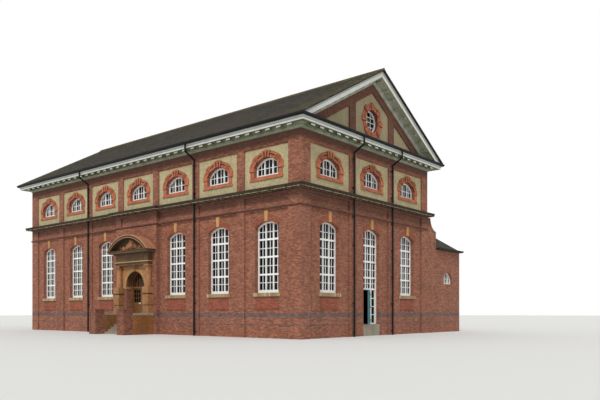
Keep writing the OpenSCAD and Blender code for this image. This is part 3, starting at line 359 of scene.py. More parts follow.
@dataclass(frozen=True)
class CastOrCut(Finish):
    """A dressed surface with two tints, grain and stains: stone, terracotta, concrete or paint."""

    light: str = "#c2a878"
    dark: str = "#8d7449"
    stain: str = "#4c4030"
    stain_amount: float = 0.5
    grain: float = 14.0  # clouds per metre: 70 mm each, coarser than real grain so that they show
    top: Optional[str] = None  # colour of what looks up
    under: Optional[str] = None  # painted shade: colour of what looks down
    band: Optional[tuple[float, float, str]] = None  # foot, top and colour of a washed band
    recess: Optional[float] = None  # how deep in the porch the painted shade begins

    def colour(self, tree: Tree) -> Socket:
        """Mix two tints by grain, stain them, and change them in a band and above; darken them deep in a recess
        and below as painted shade.

        Args:
            tree: the material's node tree.

        Returns:
            The colour.
        """
        tints = patches(tree, self.grain, (0.32, 0.68), 5.0, 0.6)
        base = weathered(tree, lay_over(tree, self.dark, self.light, tints), self.stain, 1.1, self.stain_amount)
        if self.recess is not None:
            # painted shade deep in the porch's recess, in the stain colour
            deep = add_node(tree, "MapRange", {0: coordinate(tree, 1), 1: self.recess, 2: self.recess + 0.15})
            base = lay_over(tree, base, self.stain, deep, 0.75)
        if self.band:
            broken = patches(tree, self.grain, (0.42, 0.56), 5.0, 0.6)
            share = add_node(tree, "Math", {"operation": "MULTIPLY", 0: broken,
                                            1: level_band(tree, self.band[0], self.band[1], 0.01)})
            base = lay_over(tree, base, self.band[2], share)
        if self.top:
            base = lay_over(tree, base, self.top, facing_mask(tree, 0.25, 0.6))
        if self.under:
            # painted shade on what looks down
            base = lay_over(tree, base, self.under, facing_mask(tree, -0.25, -0.6))
        return base

    def tooth(self) -> Pair:
        """A tooth five times as fine as the grain, still coarser than the real one so that it shows."""
        return (self.grain * 5, 4.0)


@dataclass(frozen=True)
class Pebbledash(Finish):
    """Lime render thrown with small pebbles: cream, with a coarse knobbly face and painted shade high in the
    gables.
    """

    pebble: float = 0.03  # 12 mm in life, and drawn 30 mm so that it shows
    # heights of the painted shade under the rakes
    sooted: Pair = (13.9, 19.5)
    depth: float = field(default=0.005, kw_only=True)

    def cells(self, tree: Tree, output: str) -> Socket:
        """Build the pebbles.

        Args:
            tree: the material's node tree.
            output: Color for a tint to each, Distance for their roundness.

        Returns:
            That output.
        """
        return add_node(tree, "TexVoronoi", {"Vector": add_node(tree, "TexCoord", {}, "Object"),
                                             "Scale": 1 / self.pebble}, output)

    def colour(self, tree: Tree) -> Socket:
        """Tint pebble by pebble, wear patches thin and darken high up, under the oversailing rakes, as painted
        shade.

        Args:
            tree: the material's node tree.

        Returns:
            The colour.
        """
        mixed = add_node(tree, "ValToRGB", {0: self.cells(tree, "Color"), "stops": (
            (0.0, "#b2a47c"), (0.5, "#cfc198"), (1.0, "#e4d8b2"))})
        worn = lay_over(tree, mixed, "#7c7049", patches(tree, 9.0, (0.4, 0.68), 6.0, 0.85), 0.7)
        stained = weathered(tree, worn, "#867c5c", 1.3, 0.4)
        return lay_over(tree, stained, "#857a63", level_band(tree, *self.sooted, 0.3), 0.5)

    def height(self, tree: Tree) -> Socket:
        """Round each pebble."""
        return add_node(tree, "Math", {"operation": "MULTIPLY", 0: self.cells(tree, "Distance"), 1: -1.0})


@dataclass(frozen=True)
class SheetGlass(Finish):
    """Old drawn sheet glass before a dark hall: near black, with a sharp and slightly wavy reflection."""

    index: float = 1.42  # a little under window glass's 1.52, to match its weak shine
    passing: float = 0.25  # share of light let through
    depth: float = field(default=0.001, kw_only=True)

    def colour(self, tree: Tree) -> Socket:
        """Vary the tint from pane to pane."""
        return lay_over(tree, "#050708", "#15191b", patches(tree, 1.7, (0.35, 0.65), 0.0))

    def tooth(self) -> Pair:
        """Waves of about 400 mm."""
        return (2.5, 0.0)

    def dress(self, shader: bpy.types.Node) -> None:
        """Set the glass's index and let a little light through."""
        shader.inputs["IOR"].default_value = self.index
        shader.inputs["Transmission Weight"].default_value = self.passing


@dataclass(frozen=True)
class RoofSlate(CoursedFinish):
    """Riven slate, 300 mm wide with 210 mm showing: brown-grey, with moss along the verges."""

    verge: float = 17.4  # distance from the middle at which the moss starts
    unit: Pair = (0.3, 0.21)
    joint: float = 0.003
    plane: Plane = Plane.ROOF
    specular: float = field(default=0.2, kw_only=True)

    def colour(self, tree: Tree) -> Socket:
        """Tint slate by slate and grow moss at the verges.

        Args:
            tree: the material's node tree.

        Returns:
            The colour.
        """
        laid = weathered(tree, CoursedFinish.colour(self, tree), "#574334", 0.45, 0.4)
        slates = weathered(tree, laid, "#454b34", 0.8, 0.35)
        out = add_node(tree, "Math", {"operation": "ABSOLUTE", 0: coordinate(tree, 0)})
        moss = add_node(tree, "MapRange", {0: out, 1: self.verge - 2.0, 2: self.verge + 0.4})
        for mask in (facing_mask(tree, 0.4, 0.7), patches(tree, 2.2, (0.42, 0.62))):
            moss = add_node(tree, "Math", {"operation": "MULTIPLY", 0: moss, 1: mask})
        return lay_over(tree, slates, "#7c6c30", moss, 0.7)


@dataclass(frozen=True)
class CornicePaint(Finish):
    """Old white oil paint on a timber cornice: white where it faces out, and green-grey underneath, partly algae
    and partly painted shade.
    """

    axis: int = 1  # 1 on the long sides and 0 on the gables
    wall: float = 8.15
    raking: bool = False
    # green-grey of the soffit and bed: algae, darkened further as painted shade under the eaves
    soffit: str = "#6d7455"
    bed: str = "#969b86"
    bed_top: float = 13.405
    strip: float = 13.63
    fascia: float = 0.62  # distance in front of the wall, as are the two limits below
    bed_out: Pair = (0.42, 0.3)  # from the outer one, where the pale bed starts, inward
    roof_under: float = 19.021
    depth: float = field(default=0.0006, kw_only=True)

    def level(self, tree: Tree) -> Socket:
        """Give the height, or under a slope the distance from the roof's underside.

        Args:
            tree: the material's node tree.

        Returns:
            A socket in metres.
        """
        height = coordinate(tree, 2)
        if not self.raking:
            return height
        out = add_node(tree, "Math", {"operation": "ABSOLUTE", 0: coordinate(tree, 1)})
        fall = math.tan(math.radians(ROOF_PITCH))
        along = add_node(tree, "Math", {"operation": "MULTIPLY_ADD", 0: out, 1: fall, 2: height})
        return add_node(tree, "Math", {"operation": "SUBTRACT", 0: along, 1: self.roof_under})

    def colour(self, tree: Tree) -> Socket:
        """Paint the outward faces white and the sheltered ones green-grey, partly algae and partly painted
        shade.

        Args:
            tree: the material's node tree.

        Returns:
            The colour.
        """
        level = self.level(tree)
        out, lean = (add_node(tree, "Math", {"operation": "ABSOLUTE", 0: coordinate(tree, self.axis, source)})
                     for source in ("Object", "Normal"))
        proud = add_node(tree, "Math", {"operation": "GREATER_THAN", 0: out, 1: self.wall + self.fascia})
        outward = add_node(tree, "MapRange", {0: lean, 1: 0.55, 2: 0.75})
        # outward faces white; the sheltered rest is green-grey, partly painted shade
        washed = add_node(tree, "Math", {"operation": "MULTIPLY", 0: proud, 1: outward})
        low = add_node(tree, "Math", {"operation": "LESS_THAN", 0: level, 1: self.bed_top})
        inner = add_node(tree, "MapRange", {0: out, 1: self.wall + self.bed_out[0],
                                            2: self.wall + self.bed_out[1]})
        pale = add_node(tree, "Math", {"operation": "MAXIMUM", 0: low, 1: inner})
        green = weathered(tree, lay_over(tree, self.soffit, self.bed, pale), "#4d5a30", 1.6, 0.55)
        high = add_node(tree, "Math", {"operation": "GREATER_THAN", 0: level, 1: self.strip})
        clean = weathered(tree, lay_over(tree, "#eff0ea", "#b4b9b6", high), "#8e9688", 0.9, 0.3)
        return lay_over(tree, green, clean, washed)


SLATE_JOINT, SLATE_STAIN = "#25221f", "#332f28"

# each finish is named for the real material and its making, and the comment over it says what that gives
# the eye; a CastOrCut runs name, roughness, light tint, dark tint, stain, its strength, grain, top and under
FINISHES: dict[str, Finish] = {
    # hand-pressed facing brick, 225 by 75 mm with its joint: matt, warm, each brick a little different
    "brick": HallBrick("red brick in lime mortar", 0.9, (
        (0.0, "#6d3a2b"), (0.3, "#864a35"), (0.7, "#995841"), (1.0, "#af6f53")), "#aa927b", "#5a3829", 0.3),
    "pier_brick": HallBrick("red brick in lime mortar, no blue courses", 0.9, (
        (0.0, "#653629"), (0.3, "#7d4634"), (0.7, "#8e523e"), (1.0, "#a2674e")), "#96806d", "#4f3328", 0.4,
        blue=(), soot=()),
    # soft brick rubbed flat and laid with putty joints: finer and redder than the wall
    "rubbed_brick": CoursedFinish("red rubbed brick with putty joints", 0.85, (
        (0.0, "#834630"), (0.5, "#97563d"), (1.0, "#ab694b")), "#7a4431", "#5e3324", 0.35,
        (0.113, 0.075), 0.002),
    # the apron's dark bands under the sill and at its foot are painted shadow
    "apron": HallBrick("red rubbed brick panel", 0.85, (
        (0.0, "#85442f"), (0.5, "#945039"), (1.0, "#a35e45")), "#7a402f", "#5f3022", 0.35, joint=0.0015,
        blue=(), soot=((2.64, 2.76, 0.04, 0.7), (1.85, 1.9, 0.02, 0.6))),
    # lime struck flush: a pale hairline round each head
    "pointing": CastOrCut("struck lime pointing", 0.9, "#cbb49a", "#a78c74", "#7a5a48"),
    # moulded blocks with a fired skin: orange, darker where water runs, and dark as painted shade where they
    # look down
    "surround": CastOrCut("moulded orange brick blocks", 0.8, "#cd7c55", "#a5593b", "#774331", 0.5, 3.5,
                          under="#552a1d"),
    # open joints, grooves and outlines of the surrounds: near black, as painted shade
    "painted_shade_joint": CastOrCut("sooted open joint", 0.95, "#3c231a", "#2a1812", "#1c100c"),
    # thrown pebbles: dry and rough, with no shine
    "render": Pebbledash("pebbledash", 0.95),
    # buff stone slips on edge, 150 mm each: pale and dusty, with brown joints
    "stone_sill": CoursedFinish("buff sandstone slips on edge", 0.85, (
        (0.0, "#937956"), (0.5, "#b0946c"), (1.0, "#cdb78e")), "#6d5138", "#6d5a3e", 0.4, (0.15, 0.6), 0.006),
    # sandstone rubbed smooth: warm buff, a little darker where it is wet
    "stone": CastOrCut("dressed buff sandstone", 0.85, "#d4a36b", "#b5834f", "#7a5a36", 0.35),
    # black weathering holds on the weather face, and the drip edge stays washed; what looks down is brown as
    # painted shade
    "cornice": CastOrCut("weathered sandstone cornice", 0.9, "#4b4436", "#312c22", "#211e17", 0.6, 5.0,
                         "#2f2c24", "#4d392c", (9.565, 9.615, "#b3a584"), specular=0.25),
    # moulded brick with tight joints: brown, darkened all over as painted shade
    "string": CoursedFinish("moulded brick string", 0.9, ((0.0, "#4f3226"), (1.0, "#70483a")), "#80604c",
                            "#2c1d16", 0.6, joint=0.003),
    # sawn and trowelled floors: grey and even, worn to no shine
    "steps": CastOrCut("sawn york stone", 0.85, "#b5ad9a", "#8b8371", "#5a5345"),
    "concrete": CastOrCut("trowelled granolithic floor", 0.8, "#9d9a92", "#7c7973", "#5b5852"),
    # lead paint on softwood: bright white with a soft gloss
    "joinery": CastOrCut("white oil paint on softwood", 0.45, "#fdfdfb", "#f4f5f1", "#cfd2ca", 0.12, 5.0,
                         depth=0.0004),
    "side_eaves": CornicePaint("white paint on the side eaves", 0.6),
    "gable_eaves": CornicePaint("white paint on the gable eaves", 0.6, axis=0, wall=17.0),
    "rakes": CornicePaint("white paint on the raking cornices", 0.6, axis=0, wall=17.0, raking=True,
                          soffit="#a9ac94", bed="#b3b6a8", bed_top=-0.56, strip=-0.16),
    # slate split by hand: dull brown-grey, each slate a little different
    "slate": RoofSlate("riven slate", 0.9, (
        (0.0, "#24221f"), (0.35, "#2e2c28"), (0.7, "#383631"), (1.0, "#47433c")), SLATE_JOINT, SLATE_STAIN,
        0.5),
    "range_slate": RoofSlate("riven slate, dry", 0.9, ((0.0, "#2a2624"), (0.5, "#3a3633"), (1.0, "#4d4843")),
                             SLATE_JOINT, SLATE_STAIN, 0.5, verge=40.0),
    # coarse fired clay: brown, with yellow moss
    "ridge": CastOrCut("fired clay ridge tiles with moss", 0.85, "#6a5638", "#443b2e", "#7d6c34", 0.8),
    # bitumen paint: black with a dull shine
    "iron": CastOrCut("black paint on cast iron", 0.6, "#0b0c0d", "#060707", "#151413", 0.4, 8.0, specular=0.25,
                      depth=0.0005),
    # drawn sheet: smooth enough to mirror the sky in slow waves
    "glass": SheetGlass("drawn sheet glass", 0.04, specular=0.15),
    # terracotta pressed in moulds and fired: buff to red with a faint sheen, and darker where it looks down as
    # painted shade
    "buff_terracotta": CastOrCut("pressed buff terracotta", 0.7, "#bb8656", "#97673d", "#5f4226", 0.5, 3.0,
                                 "#5d4c30", "#6d4a2e"),
    # the arch darkens deep in the porch as painted shade
    "arch_terracotta": CastOrCut("pressed buff terracotta arch", 0.7, "#bb8656", "#97673d", "#4a3522", 0.4, 3.0,
                                 under="#5f4228", recess=-8.34),
    # entablature and tympanum: terracotta darkened as painted shade under the pediment and in its hollows
    "entablature": CastOrCut("sooted buff terracotta", 0.8, "#755838", "#574029", "#36291a", 0.55, 3.0,
                             "#3d3828", "#4c3a26"),
    "tympanum": CastOrCut("sooted terracotta ground", 0.85, "#54452d", "#3c3222", "#2a2318"),
    "red_terracotta": CastOrCut("pressed red terracotta", 0.75, "#c28a66", "#a56a49", "#5f4630", 0.45, 3.0,
                                under="#4d3a28"),
    "carving": CastOrCut("modelled terracotta", 0.75, "#cf8f62", "#a5683f", "#5f4028", 0.45, 6.0),
    "pale_terracotta": CastOrCut("washed terracotta moulding", 0.75, "#d8b078", "#b98c55", "#7a5c38", 0.4, 6.0),
    # planed oak under varnish: brown and warm, with a soft shine
    "oak": CastOrCut("varnished oak", 0.45, "#8d5f33", "#6a4422", "#3f2513", 0.4, 9.0, depth=0.0008),
    # sawn deal under stain: orange-brown and flat
    "boards": CastOrCut("stained deal boards", 0.7, "#ab723c", "#80512a", "#4e331b", 0.55, 7.0, depth=0.001),
    # linseed gloss paint: teal with a clear highlight
    "teal": CastOrCut("teal gloss paint on softwood", 0.35, "#35898a", "#287173", "#1d4f52", 0.3, 5.0,
                      depth=0.0004),
    # enamel fired on sheet iron: cream and glossy
    "plate": CastOrCut("white enamelled plate", 0.35, "#eeeadd", "#dcd6c6", "#b5ad98"),
    # rolled steel under thin paint: grey with a low shine
    "steel": CastOrCut("painted steel butts", 0.45, "#8d8e90", "#747577", "#55504c", 0.3),
}

# every other node of the CAD model is brick
NODES_BY_FINISH: dict[str, str] = {
    "concrete": "ground_floors", "string": "lower_string_course",
    "steps": "doorway_thresholds porch_landing entrance_steps",
    "cornice": "side_string_cornices gable_string_cornices entrance_string_cornice",
    "side_eaves": "side_eaves_cornices", "gable_eaves": "gable_eaves_cornices",
    "rakes": "front_raking_cornices rear_raking_cornices", "slate": "front_roof_slope rear_roof_slope",
    "ridge": "ridge_tiles", "iron": "side_gutters gable_gutters downpipes",
    "joinery": "lower_window_frames upper_window_frames gable_door_frame",
    "glass": "lower_window_glass upper_window_glass", "surround": "window_surrounds", "render": "render_panels",
    "stone_sill": "window_sills", "apron": "window_aprons", "rubbed_brick": "window_heads",
    "stone": "window_keystones", "teal": "gable_door",
    "oak": "entrance_screen entrance_door entrance_door_right",
    "steel": "door_hinges", "buff_terracotta": "porch_columns", "arch_terracotta": "porch_arch",
    "entablature": "porch_entablature", "red_terracotta": "porch_pediment", "boards": "landing_boards",
    "range_slate": "range_roof", "pier_brick": "stair_walls",
}
NODE_FINISH = {node: finish for finish, nodes in NODES_BY_FINISH.items() for node in nodes.split()}


def as_drawn(x: float, y: float, z: float) -> Point:
    """Leave a point of the building's own frame where it is."""
    return (x, y, z)


def mirrored(m: int, near: float, far: float) -> Pair:
    """Give two limits on one side of the middle in rising order; m is -1 or 1."""
    return sorted((m * near, m * far))


def arch_radius(width: float, rise: float) -> float:
    """Work out the radius of a segmental head from its width and the height of its crown over the springing."""
    return (width * width / 4 + rise * rise) / (2 * rise)


def reach(radius: float, offset: float) -> float:
    """Work out the height of a circle over its centre, or 0 outside the circle."""
    return math.sqrt(max(radius * radius - offset * offset, 0.0))


def arc_path(radius: float, centre_z: float, turn: float, y: float, count: int = 40) -> list[Point]:
    """Find points of an arc in elevation.

    Args:
        radius: of the arc.
        centre_z: height of its centre.
        turn: its ends' angle from the vertical, in degrees.
        y: how far behind the wall plane it lies.
        count: straight lengths.

    Returns:
        The points in order.
    """
    steps = [math.radians(-turn + 2 * turn * i / count) for i in range(count + 1)]
    return [(radius * math.sin(a), y, centre_z + radius * math.cos(a)) for a in steps]


def scroll_path(centre: Pair, radius: float, turns: float, hand: int, y: float) -> list[Point]:
    """Find points of a spiral in elevation that winds in from its top to its eye and a little forward.

    Args:
        centre: of the eye, as x and z.
        radius: at the start.
        turns: number of turns.
        hand: 1 or -1, the way it winds.
        y: how far behind the wall plane it starts.

    Returns:
        The points in order.
    """
    count = int(18 * turns)
    path = []
    for i in range(count + 1):
        t = i / count
        a = math.radians(90) + hand * 2 * math.pi * turns * t
        r = radius * (1 - 0.82 * t)
        path.append((centre[0] + r * math.cos(a), y - 0.015 * t, centre[1] + r * math.sin(a)))
    return path


class Side(Enum):
    """A side of the building: its turn about the middle and the distance of its wall plane."""

    FRONT = (0, 8.15)
    REAR = (180, 8.15)
    EAST = (90, 17.0)
    WEST = (-90, 17.0)
    RANGE_REAR = (180, 14.07)

    def placer(self, shift: float = 0.0, out: float = 0.0) -> Placer:
        """Return a function from this side's own frame to the building's frame.

        Args:
            shift: distance along the wall of the new origin.
            out: distance of the new origin in front of the wall plane.

        Returns:
            A function of x, y and z.
        """
        turn, half = math.radians(self.value[0]), self.value[1]
        cos, sin = math.cos(turn), math.sin(turn)

        def place(x: float, y: float, z: float) -> Point:
            """Turn one point."""
            px, py = x + shift, y - half - out
            return (px * cos - py * sin, px * sin + py * cos, z)
        return place

    def bays(self, numbers: Iterable[int]) -> list[Placer]:
        """Give the frames of the side's bays, numbered from its middle."""
        pitch = GABLE_BAY if self in (Side.EAST, Side.WEST) else BAY
        return [self.placer(n * pitch) for n in numbers]


FRONT, EAST = Side.FRONT.placer(), Side.EAST.placer()
GABLES = (Side.EAST, Side.WEST)
# the tall windows that stand over an apron, and the lunettes of all four sides
TALL_PLACES = Side.FRONT.bays((-3, -2, -1, 1, 2, 3)) + Side.EAST.bays((-1, 1)) + Side.WEST.bays((-1, 0, 1))
LUNETTE_PLACES = [place for side in (Side.FRONT, Side.REAR) for place in side.bays(range(-3, 4))]
LUNETTE_PLACES += [place for side in GABLES for place in side.bays((-1, 0, 1))]


class Solids:
    """Collects closed solids that become one mesh, each given in the frame where the collector stands."""

    def __init__(self, place: Placer = as_drawn) -> None:
        """Start empty.

        Args:
            place: the frame where the collector stands.
        """
        self.place = place
        self.points: list[Point] = []
        self.faces: list[tuple[int, ...]] = []

    def prism(self, outline: Sequence[Pair], y: Pair) -> None:
        """Add a prism.

        Args:
            outline: its corners in x and z, in order.
            y: its front and back face.
        """
        n, first = len(outline), len(self.points)
        for depth in y:
            self.points.extend(self.place(x, depth, z) for x, z in outline)
        self.faces.append(tuple(range(first, first + n)))
        self.faces.append(tuple(reversed(range(first + n, first + 2 * n))))
        for i in range(n):
            j = (i + 1) % n
            self.faces.append((first + i, first + n + i, first + n + j, first + j))

    def box(self, x: Pair, y: Pair, z: Pair) -> None:
        """Add a box from its two limits along the wall, through it and in height."""
        self.prism(((x[0], z[0]), (x[1], z[0]), (x[1], z[1]), (x[0], z[1])), y)

    def border(self, x: Pair, y: Pair, z: Pair, wide: float) -> None:
        """Add four strips round the inside of a rectangle.

        Args:
            x: its two limits along the wall.
            y: front and back face.
            z: its two limits of height.
            wide: width of a strip.
        """
        for foot, head in ((z[0], z[0] + wide), (z[1] - wide, z[1])):
            self.box(x, y, (foot, head))
        for left, right in ((x[0], x[0] + wide), (x[1] - wide, x[1])):
            self.box((left, right), y, (z[0] + wide, z[1] - wide))

    def wedge(self, centre_z: float, radii: Pair, angles: Pair, y: Pair, parts: int = 1) -> None:
        """Add a block cut to two rays and two arcs.

        Args:
            centre_z: height of the arcs' centre.
            radii: inner and outer radius.
            angles: of the two rays, in degrees from the vertical.
            y: front and back face.
            parts: straight lengths that make up an arc.
        """
        turns = [math.radians(angles[0] + (angles[1] - angles[0]) * i / parts) for i in range(parts + 1)]
        for a, b in zip(turns, turns[1:]):
            corners = ((radii[0], a), (radii[0], b), (radii[1], b), (radii[1], a))
            self.prism([(r * math.sin(t), centre_z + r * math.cos(t)) for r, t in corners], y)

    def skin(self, rings: int, sides: int) -> None:
        """Cover the rings of points added last and cap both ends.

        Args:
            rings: number of rings.
            sides: points in each.
        """
        first = len(self.points) - rings * sides
        for a in range(first, first + (rings - 1) * sides, sides):
            for k in range(sides):
                m = (k + 1) % sides
                self.faces.append((a + k, a + m, a + sides + m, a + sides + k))
        self.faces.append(tuple(reversed(range(first, first + sides))))
        self.faces.append(tuple(range(len(self.points) - sides, len(self.points))))

    def rod(self, path: Sequence[Point], radii: Pair, sides: int = 8) -> None:
        """Add a round rod along a path.

        Args:
            path: points of the centre line.
            radii: radius at its start and at its end.
            sides: number of sides.
        """
        last = len(path) - 1
        for i, point in enumerate(path):
            here = Vector(point)
            ahead = (Vector(path[min(i + 1, last)]) - Vector(path[max(i - 1, 0)])).normalized()
            side = ahead.cross(Vector((0, 1, 0)) if abs(ahead.y) < 0.9 else Vector((1, 0, 0))).normalized()
            other = ahead.cross(side)
            r = radii[0] + (radii[1] - radii[0]) * i / last
            for k in range(sides):
                a = 2 * math.pi * k / sides
                self.points.append(self.place(*(here + side * (r * math.cos(a)) + other * (r * math.sin(a)))))
        self.skin(len(path), sides)

    def turned(self, profile: Sequence[Pair], centre: Point, sides: int, squash: float = 1.0) -> None:
        """Add a solid turned about the y axis, as a boss on a wall.

        Args:
            profile: pairs of radius and y, from back to front.
            centre: middle of the boss.
            sides: number of sides.
            squash: height of the ring as a share of its width.
        """
        for r, y in profile:
            for k in range(sides):
                a = 2 * math.pi * k / sides
                self.points.append(self.place(centre[0] + r * math.cos(a), centre[1] + y,
                                              centre[2] + r * squash * math.sin(a)))
        self.skin(len(profile), sides)


class Workshop:
    """Makes each finish once, turns solids into pieces and keeps count of them."""

    def __init__(self) -> None:
        """Start with no materials."""
        self.made: dict[str, bpy.types.Material] = {}
        self.triangles = 0

    def material(self, key: str) -> bpy.types.Material:
        """Give a finish's material, making it the first time.

        Args:
            key: the finish's key.

        Returns:
            The material.
        """
        if key not in self.made:
            self.made[key] = FINISHES[key].material()
        return self.made[key]

    def dress_frame(self, nodes: dict[str, bpy.types.Object]) -> None:
        """Give every node of the CAD model its finish.

        Args:
            nodes: the CAD objects by name.
        """
        for name, node in nodes.items():
            node.data.materials.clear()
            node.data.materials.append(self.material(NODE_FINISH.get(name, "brick")))

    def piece(self, solids: Solids, name: str, finish: str, slot: str, body: str = "house", bevel: float = 0.0,
              smooth: bool = False) -> None:
        """Make a mesh object of the solids, ride it on its body and log it.

        Args:
            solids: what the piece is made of.
            name: the piece's name.
            finish: key of its finish.
            slot: name of a material slot; not used.
            body: the CAD body it moves with.
            bevel: width of the eased edges, or 0.
            smooth: whether faces are shaded smooth.
        """
        mesh = bpy.data.meshes.new(name)
        mesh.from_pydata(solids.points, [], solids.faces)
        work = bmesh.new()
        work.from_mesh(mesh)
        bmesh.ops.recalc_face_normals(work, faces=work.faces)
        work.to_mesh(mesh)
        work.free()
        for face in mesh.polygons:
            face.use_smooth = smooth
        made = bpy.data.objects.new(name, mesh)
        bpy.context.scene.collection.objects.link(made)
        mesh.materials.append(self.material(finish))
        if bevel > 0:
            eased = made.modifiers.new("eased edges", "BEVEL")
            eased.width, eased.segments, eased.limit_method = bevel, 2, "ANGLE"
        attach(made, body)
        count = sum(len(face.vertices) - 2 for face in mesh.polygons)
        self.triangles += count
        LOG.info("%s: %d triangles", name, count)


@dataclass
class Assembly:
    """A group of pieces that one class makes."""

    workshop: Workshop

    def build(self) -> None:
        """Build the group's pieces; each group has its own."""
        raise NotImplementedError


@dataclass(frozen=True)
class Opening:
    """A segment-headed window and the timber in it."""

    width: float
    sill: float
    spring: float
    rise: float
    face: float
    frame: float = 0.095
    mullion: float = 0.09
    bar_d: float = 0.08

    def radius(self) -> float:
        """Radius of the head."""
        return arch_radius(self.width, self.rise)

    def centre(self) -> float:
        """Height of the head's centre."""
        return self.spring + self.rise - self.radius()

    def spread(self) -> float:
        """Angle from the vertical at which the head springs, in degrees."""
        return math.degrees(math.asin(self.width / 2 / self.radius()))

    def top(self, x: float, inset: float) -> float:
        """Find the height of the head at a distance from the middle, drawn in from the brick by an inset."""
        return self.centre() + reach(self.radius() - inset, x)

    def lights(self, centre: Optional[float] = None) -> list[Pair]:
        """Find the clear edges of the three lights.

        Args:
            centre: distance of a mullion from the middle, where the lights aren't equal.

        Returns:
            The left and right edge of each light.
        """
        edge, half = self.width / 2 - self.frame, self.mullion / 2
        line = centre if centre is not None else (2 * edge - 2 * self.mullion) / 6 + half
        return [(-edge, -line - half), (-line + half, line - half), (line + half, edge)]


TALL = Opening(2.1, 2.99, 7.36, 0.35, 0.405)
LUNETTE = Opening(2.18, 10.6866, 11.3366, 0.55, 0.325)
RANGE_LIGHT = Opening(1.65, 4.13, 4.56, 0.58, 0.21)
ROUND_Z = 15.57  # middle of the round windows


@dataclass
class Glazing(Assembly):
    """The thin glazing bars that part each light into panes."""

    bar: float = 0.046
    depth: float = 0.03
    nose: float = 0.008  # what a bar steps in at its front
    round_r: float = 0.705
    transoms: Row = (4.215, 5.38, 6.545)
    transom: float = 0.12
    low_rail: float = 0.2
    high_rail: float = 0.14
    head_line: float = 7.5
    levels: Pair = (11.25, 4.6)  # level bars of the lunettes and of the range's lights
    door_head: float = 3.45
    side_light_x: Pair = (0.4083, 0.875)
    side_light_z: Pair = (0.925, 3.33)

    def lay_bar(self, solids: Solids, x: Pair, z: Pair, back: float) -> None:
        """Add a bar as a tongue with a narrower nose in front.

        Args:
            solids: where it goes.
            x: its two limits along the wall, equal for an upright.
            z: its two limits of height, equal for a level bar.
            back: the face of the glass.
        """
        front, half = back - self.depth, self.bar / 2
        step = front + self.nose
        for grow, y in ((half, (step, back + 0.003)), (half - self.nose, (front, step))):
            if x[0] == x[1]:
                solids.box((x[0] - grow, x[1] + grow), y, z)
            else:
                solids.box(x, y, (z[0] - grow, z[1] + grow))

    def tall_window(self, solids: Solids, place: Placer, low: float) -> None:
        """Bar one tall window.

        Args:
            solids: where the bars go.
            place: where the window lies.
            low: the underside of its lowest light.
        """
        solids.place = place
        back, half = TALL.face + TALL.bar_d, self.transom / 2
        feet = [low] + [z + half for z in self.transoms if z > low]
        heads = [z - half for z in self.transoms if z > low] + [self.head_line]
        for left, right in TALL.lights():
            middle = (left + right) / 2
            self.lay_bar(solids, (middle, middle), (low, TALL.top(middle, TALL.frame)), back)
            for below, above in zip(feet, heads):
                z = (above + below) / 2
                self.lay_bar(solids, (left, right), (z, z), back)

    def arched_light(self, solids: Solids, place: Placer, opening: Opening, rail: float, level: float) -> None:
        """Bar a lunette with one upright and one level bar in each light.

        Args:
            solids: where the bars go.
            place: where the window lies.
            opening: the window.
            rail: height of its bottom rail.
            level: height of the level bars.
        """
        solids.place = place
        back = opening.face + opening.bar_d
        for left, right in opening.lights(opening.width / 6):
            middle = (left + right) / 2
            head = opening.top(middle, opening.frame)
            self.lay_bar(solids, (middle, middle), (opening.sill + rail, head), back)
            self.lay_bar(solids, (left, right), (level, level), back)

    def round_light(self, solids: Solids, place: Placer) -> None:
        """Bar a round window three panes wide and four high.

        Args:
            solids: where the bars go.
            place: where the window lies.
        """
        solids.place = place
        back = LUNETTE.face + LUNETTE.bar_d
        for x in (-self.round_r / 3, self.round_r / 3):
            h = reach(self.round_r, x)
            self.lay_bar(solids, (x, x), (ROUND_Z - h, ROUND_Z + h), back)
        for z in (-self.round_r / 2, 0.0, self.round_r / 2):
            h = reach(self.round_r, z)
            self.lay_bar(solids, (-h, h), (ROUND_Z + z, ROUND_Z + z), back)

    def build(self) -> None:
        """Build the bars of the lower and upper windows as two pieces."""
        lower, upper = Solids(), Solids()
        for place in TALL_PLACES:
            self.tall_window(lower, place, TALL.sill + self.low_rail)
        self.tall_window(lower, EAST, self.door_head)
        low, high = self.side_light_z
        for i in range(1, 4):
            z = low + i * (high - low) / 4
            self.lay_bar(lower, self.side_light_x, (z, z), TALL.face + TALL.bar_d)
        range_places = Side.RANGE_REAR.bays(range(-3, 4))
        range_places += [Side.EAST.placer(RANGE_END), Side.WEST.placer(-RANGE_END)]
        for place in range_places:
            self.arched_light(lower, place, RANGE_LIGHT, RANGE_LIGHT.frame, self.levels[1])
        for place in LUNETTE_PLACES:
            self.arched_light(upper, place, LUNETTE, self.high_rail, self.levels[0])
        for side in GABLES:
            self.round_light(upper, side.placer())
        self.workshop.piece(lower, "lower_glazing_bars", "joinery", "painted_timber")
        self.workshop.piece(upper, "upper_glazing_bars", "joinery", "painted_timber")


